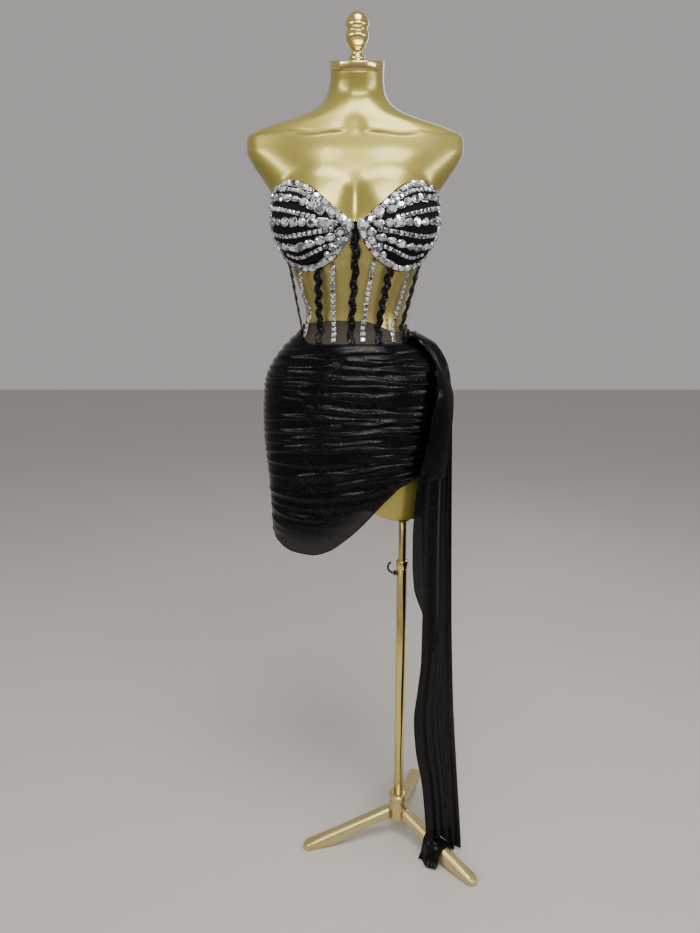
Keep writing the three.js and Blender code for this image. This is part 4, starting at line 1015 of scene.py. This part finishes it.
def fold_rise(turn, z):
    """How far the ruching stands out: soft ridges with a sharper lower side and a trough below"""
    behind = np.maximum(0, np.abs(turn) - 90)
    front_turn = np.where(behind > 0, np.sign(turn) * (90 - behind), turn)
    level = z + BACK_DROP * behind / 90
    rise = 0
    for i, (*levels, begin, end, high, wide) in enumerate(FOLDS):
        here = smooth_step(front_turn, begin, begin + FOLD_FADE)
        here = here * (1 - smooth_step(front_turn, end - FOLD_FADE, end))
        uneven = 0.8 + 0.2 * np.sin(front_turn * 0.09 + 2.3 * i)
        crest = np.polyval(np.polyfit(FOLD_STATIONS, levels, 2), front_turn)
        crest = crest + FOLD_SHAPE["waver"] * np.sin(front_turn * 0.11 + i)
        offset = (level - crest) / (FOLD_SHAPE["wide"] * wide)
        ridge = bell(offset * np.where(offset > 0, FOLD_SHAPE["above"], FOLD_SHAPE["below"]))
        trough = FOLD_SHAPE["trough"] * bell(offset, FOLD_SHAPE["trough_at"])
        rise = rise + FOLD_SHAPE["high"] * high * here * uneven * (ridge - trough)
    bumps = np.abs(np.sin(math.pi * (z + 3 * np.sin(z / 31)) / GATHER["pitch"])) - GATHER["sink"]
    gathers = GATHER["high"] * bell(np.abs(turn), 90, GATHER["reach"]) * bumps
    return np.maximum(rise, FOLD_SHAPE["deepest"]) + gathers


def skirt_base(turn, z):
    """The skirt without its folds"""
    below = waist_seam(turn) - z
    sidewise = np.abs(np.sin(np.radians(turn))) ** 3
    front, side = along(EASE, "front", below), along(EASE, "side", below)
    return figure_radius(turn, z) + front + (side - front) * sidewise


def skirt_radius(turn, z):
    return skirt_base(turn, z) + smooth_step(waist_seam(turn) - z, 0, 16) * fold_rise(turn, z)


def thinness(turn, z):
    """Where the cloth is one thin layer: by the hem, and a little where the belly stretches it"""
    hem = 1 - smooth_step(z - along(HEM, "z", turn), 12, 50)
    return np.maximum(hem, 0.35 * bell(turn, 0, 45) * bell(z, 1002, 34))


def glitter_cloth(name):
    """Black mesh under a layer of fine glitter grains, each a small bead that catches the light"""
    finish = Finish(name, "glitter_cloth")
    place_on = finish.add("TexCoord", output="Object")
    grain = finish.add("TexVoronoi", {"Vector": place_on, "Scale": 560.0}, output="Color")
    bead = finish.add("TexVoronoi", {"Vector": place_on, "Scale": 560.0}, output="Distance")
    lucky = finish.add("SeparateColor", {"Color": grain}, output=0)
    thin = finish.add("Attribute", output="Fac", attribute_name="thin")
    patches = finish.noise(26, 3, place_on)
    flake = lucky > (1.0 - patches * 0.28)
    base = finish.mixed(flake, (0.0008, 0.001, 0.001), (0.03, 0.03, 0.033))
    bump = finish.bump(bead, 0.16, 0.0008)
    return finish.surface(Base_Color=base, Metallic=flake * 0.9, Roughness=0.11 + patches * 0.12,
                          Alpha=0.99 - thin * 0.05, Specular_IOR_Level=0.13, Normal=bump)


glitter = glitter_cloth("glitter_cloth")
for label, (flat, area) in SKIRT_CUTS.items():
    level, turn = half_grid(label, 290, 150)
    hem = along(HEM, "z", turn)
    z = hem + (waist_seam(turn) - hem) * level
    points = place(turn, z, skirt_radius(turn, z) - SKIRT_SINK)
    sheet = dict(flat=flat, area=area, held="gathered", rests_on=["form_torso"])
    cloth_piece(f"ruched_skirt_{label}", f"skirt_edge_{label}", points, SKIRT_EDGE, glitter,
                f"skirt_{label}", sheet, thin=thinness(turn, z).ravel())

# Train: the same cloth, gathered into the right side seam. The long stretch falls in deep upright
# folds to one leg of the stand, its end lies over that leg, and the flap hangs in front of it.
TRAIN = {"top": 1082, "hem": 8, "folds": 5, "fine": 0.5, "thin": 0.1, "levels": table(
    "z in_x in_y out_x out_y bow deep", [
        (0, 154, -113, 230, -76, 0, 5.5), (60, 151, -110, 226, -70, 0, 5.5),
        (162, 142, -100, 219, -55, 0, 5.5), (247, 127, -94, 213, -46, 0, 5.5),
        (310, 123, -90, 209, -40, 0, 5.5), (374, 130, -86, 206, -35, 0, 5.5),
        (442, 136, -84, 202, -31, 0, 5.5), (567, 137, -82, 197, -22, 2, 5.5),
        (700, 132, -83, 193, -14, 5, 5.5), (790, 131, -84, 190, -8, 8, 5.5),
        (850, 134, -84, 188, -2, 10, 5.5), (904, 139, -82, 186, 4, 11, 5.5),
        (945, 144, -78, 184, 8, 11, 5.5), (986, 149, -70, 181, 14, 10, 5),
        (1012, 150, -58, 176, 18, 10, 4.5), (1056, 133, -50, 153, 20, 9, 3),
        (1084, 98, -52, 112, 14, 5, 1),
    ])}
FLAP = {"top": 1012, "folds": 2, "fine": 0.4, "thin": 0.4, "levels": table(
    "z in_x in_y out_x out_y bow deep", [
        (440, 114, -93, 168, -64, 0, 3), (567, 107, -92, 163, -60, 0, 3), (700, 104, -92, 160, -58, 2, 3),
        (790, 108, -93, 159, -57, 3, 3), (850, 115, -91, 160, -54, 3, 2.5),
        (904, 125, -88, 161, -50, 3, 2), (945, 133, -84, 162, -46, 3, 1.5),
        (1000, 142, -70, 158, -44, 2, 0.5),
    ])}
CLOTH_THICK = 1.2
TRAIN_EDGE, END_EDGE = 0.8, 0.7
FLAP_OFFSET = 14.1
FLAP_TUCK = {"from": 960, "deep": 9}
FLAP_HEM = table("t z", [(0, 640), (0.05, 596), (0.28, 546), (0.65, 462), (1, 545)])
TRAIN_CLEAR = 9
SADDLE = {"from": 86, "to": 132, "clear": 1.2, "floor": 3.6, "waver": 0.12, "spread": 1.12, "above": 3,
          "thick": 0.5, "end": 0.8}
SADDLE_RISE = table("across rise", [(0, 1), (8, 1), (17.5, 0.82), (25, 0.3), (33, 0)])
leg_turn = math.radians(LEG["turns"][2])
pole_from_form = (POLE_AXIS - FORM_AXIS)[:2]


def hang_point(fall, t, z, thick, fine):
    """A place on the hanging cloth: t runs across it, thick moves it outwards"""
    levels, folds = fall["levels"], fall["folds"]
    inner = np.stack([along(levels, "in_x", z), along(levels, "in_y", z)], -1)
    outer = np.stack([along(levels, "out_x", z), along(levels, "out_y", z)], -1)
    chord = unit(outer - inner)
    away = np.stack([chord[..., 1], -chord[..., 0]], -1)
    drift = 0.012 * np.sin(z / 170)
    uneven = 0.8 + 0.2 * np.sin(7 * t + 1)
    drifted = t + drift * np.sin(math.pi * t)
    wave = -along(levels, "deep", z) * uneven * np.cos(2 * math.pi * folds * drifted)
    small = fine * np.sin(2 * math.pi * (folds * 1.7 * t + 0.3 * np.sin(z / 140)) + 1) * np.sin(math.pi * t)
    bow = along(levels, "bow", z) * 4 * t * (1 - t)
    point = inner + (outer - inner) * t[..., None] + away * (bow + wave + small)[..., None]
    turn = np.degrees(np.arctan2(point[..., 0], -point[..., 1]))
    far = np.linalg.norm(point, axis=-1)
    over_skirt = z > along(HEM, "z", turn) - 10
    clear = np.where(over_skirt, skirt_base(turn, z) + TRAIN_CLEAR, 0)
    point *= (np.maximum(far, clear) / far)[..., None]
    point += away * np.broadcast_to(thick, t.shape)[..., None]
    return np.concatenate([point, np.broadcast_to(z, t.shape)[..., None]], -1)


def saddle_level(far, rise):
    return SADDLE["floor"] + (leg_top(far) + SADDLE["clear"] - SADDLE["floor"]) * rise


def train_hem(t):
    """The hem just clears the end of the train that lies over the leg"""
    low = hang_point(TRAIN, t, np.full(t.shape, TRAIN["hem"]), CLOTH_THICK, 0)
    east, north = low[..., 0] - pole_from_form[0], low[..., 1] - pole_from_form[1]
    far = east * math.cos(leg_turn) + north * math.sin(leg_turn)
    beside = np.abs(-east * math.sin(leg_turn) + north * math.cos(leg_turn))
    rise = along(SADDLE_RISE, "rise", beside / SADDLE["spread"])
    return np.maximum(TRAIN["hem"], saddle_level(far, rise) + SADDLE["above"])


def flap_hem(t):
    return along(FLAP_HEM, "z", t)


def flap_thick(z):
    """The flap stands in front of the long fall and is tucked into the seam near its top"""
    return FLAP_OFFSET - FLAP_TUCK["deep"] * smooth_step(z, FLAP_TUCK["from"], FLAP["top"])


def saddle_points():
    """The bent end of the train, from the floor up over the leg and down again"""
    edges = SADDLE_RISE["across"]
    across = np.linspace(-edges[-1], edges[-1], 61)
    far = np.linspace(SADDLE["from"] + SADDLE["end"], SADDLE["to"] - SADDLE["end"], 34)[:, None]
    rise = along(SADDLE_RISE, "rise", np.abs(across))
    column = np.interp(np.abs(across), edges, range(len(edges))) * np.sign(across)
    waver = 1 + SADDLE["waver"] * np.sin(0.16 * far + column)
    return np.stack([far + 0 * across, across * waver, saddle_level(far, rise) + SADDLE["thick"]], -1)


train_cloth = glitter_cloth("train_cloth")
for name, node, fall, hem, thick, grid, flat, area in (
        ("long_train", "train_long", TRAIN, train_hem, lambda z: CLOTH_THICK, (200, 150),
         (0.14, 1.08), 0.143),
        ("train_front_flap", "train_flap", FLAP, flap_hem, flap_thick, (140, 70), (0.075, 0.54), 0.0335)):
    share, t = share_grid(*grid)
    z = hem(t) + (fall["top"] - hem(t)) * share
    points = hang_point(fall, t, z, thick(z), fall["fine"])
    sheet = dict(flat=flat, area=area, held="gathered", rests_on=["skirt_front"])
    cloth_piece(name, f"{name}_edge", points, TRAIN_EDGE, train_cloth, node, sheet,
                thin=np.full(t.size, fall["thin"]))

saddle = turned_to(saddle_points(), LEG["turns"][2])
cloth_piece("train_end_over_leg", "train_end_edge", saddle, END_EDGE, train_cloth, "train_end",
            dict(flat=(0.13, 0.046), held="draped", rests_on=["stand_leg_3"]), axis=POLE_AXIS)

# Stage: a plain pale floor under soft studio light, seen from in front and a little above.
CAMERA_PLACE = (FORM_AXIS + (-9.3, -1364.7, 1117)) / 1000
CAMERA_DOWN = 12.4
CAMERA_LENS = 27.05
FLOOR_HALF = 9
floor_mesh = bpy.data.meshes.new("floor")
floor_corners = [(x * FLOOR_HALF, y * FLOOR_HALF, -0.0004) for x, y in ((-1, -1), (1, -1), (1, 1), (-1, 1))]
floor_mesh.from_pydata(floor_corners, [], [(0, 1, 2, 3)])
floor_finish = Finish("pale_floor")
floor_cloud = floor_finish.noise(1.5, 4)
floor_base = floor_finish.mixed(floor_cloud, (0.53, 0.51, 0.48), (0.59, 0.57, 0.54))
floor_finish.surface(Base_Color=floor_base, Roughness=0.55 + floor_cloud * 0.1)
floor_mesh.materials.append(floor_finish.material)
floor = put("floor", floor_mesh)

camera_data = bpy.data.cameras.new("camera")
camera_data.lens = CAMERA_LENS
camera_data.sensor_width = 36
camera = put("camera", camera_data)
camera.location = CAMERA_PLACE
camera.rotation_euler = (math.radians(90 - CAMERA_DOWN), 0, 0)
bpy.context.scene.camera = camera

world = bpy.data.worlds.new("studio")
world.use_nodes = True
sky = world.node_tree.nodes["Background"].inputs
sky["Color"].default_value = (0.72, 0.7, 0.67, 1)
sky["Strength"].default_value = 0.55
bpy.context.scene.world = world
SOFT_LIGHTS = [
    ("ceiling", (0.2, -0.9, 3.0), (0, 0, 1.0), (1.2, 1.2), 42, (1, 0.97, 0.92)),
    ("key", (0.5, -2.7, 2.3), (0, 0, 1.0), (2.6, 0.22), 36, (1, 0.98, 0.95)),
    ("left", (-2.2, -1.6, 2.0), (0, 0, 1.0), (1.8, 0.45), 22, (1, 0.97, 0.93)),
    ("right", (2.4, -1.2, 1.6), (0, 0, 0.9), (1.8, 0.45), 18, (0.95, 0.97, 1)),
    ("behind", (0.8, 2.4, 2.2), (0, 0, 1.0), (1.1, 1.1), 9, (1, 0.98, 0.95)),
]
for name, where, aim, (wide, high), power, colour in SOFT_LIGHTS:
    light = bpy.data.lights.new(name, "AREA")
    light.shape, light.size, light.size_y = "RECTANGLE", wide, high
    light.energy, light.color = power, colour
    lamp = put(name, light)
    lamp.location = where
    ahead = np.array(aim) - where
    pitch = math.atan2(math.hypot(ahead[0], ahead[1]), -ahead[2])
    lamp.rotation_euler = (pitch, 0, math.atan2(-ahead[0], ahead[1]))
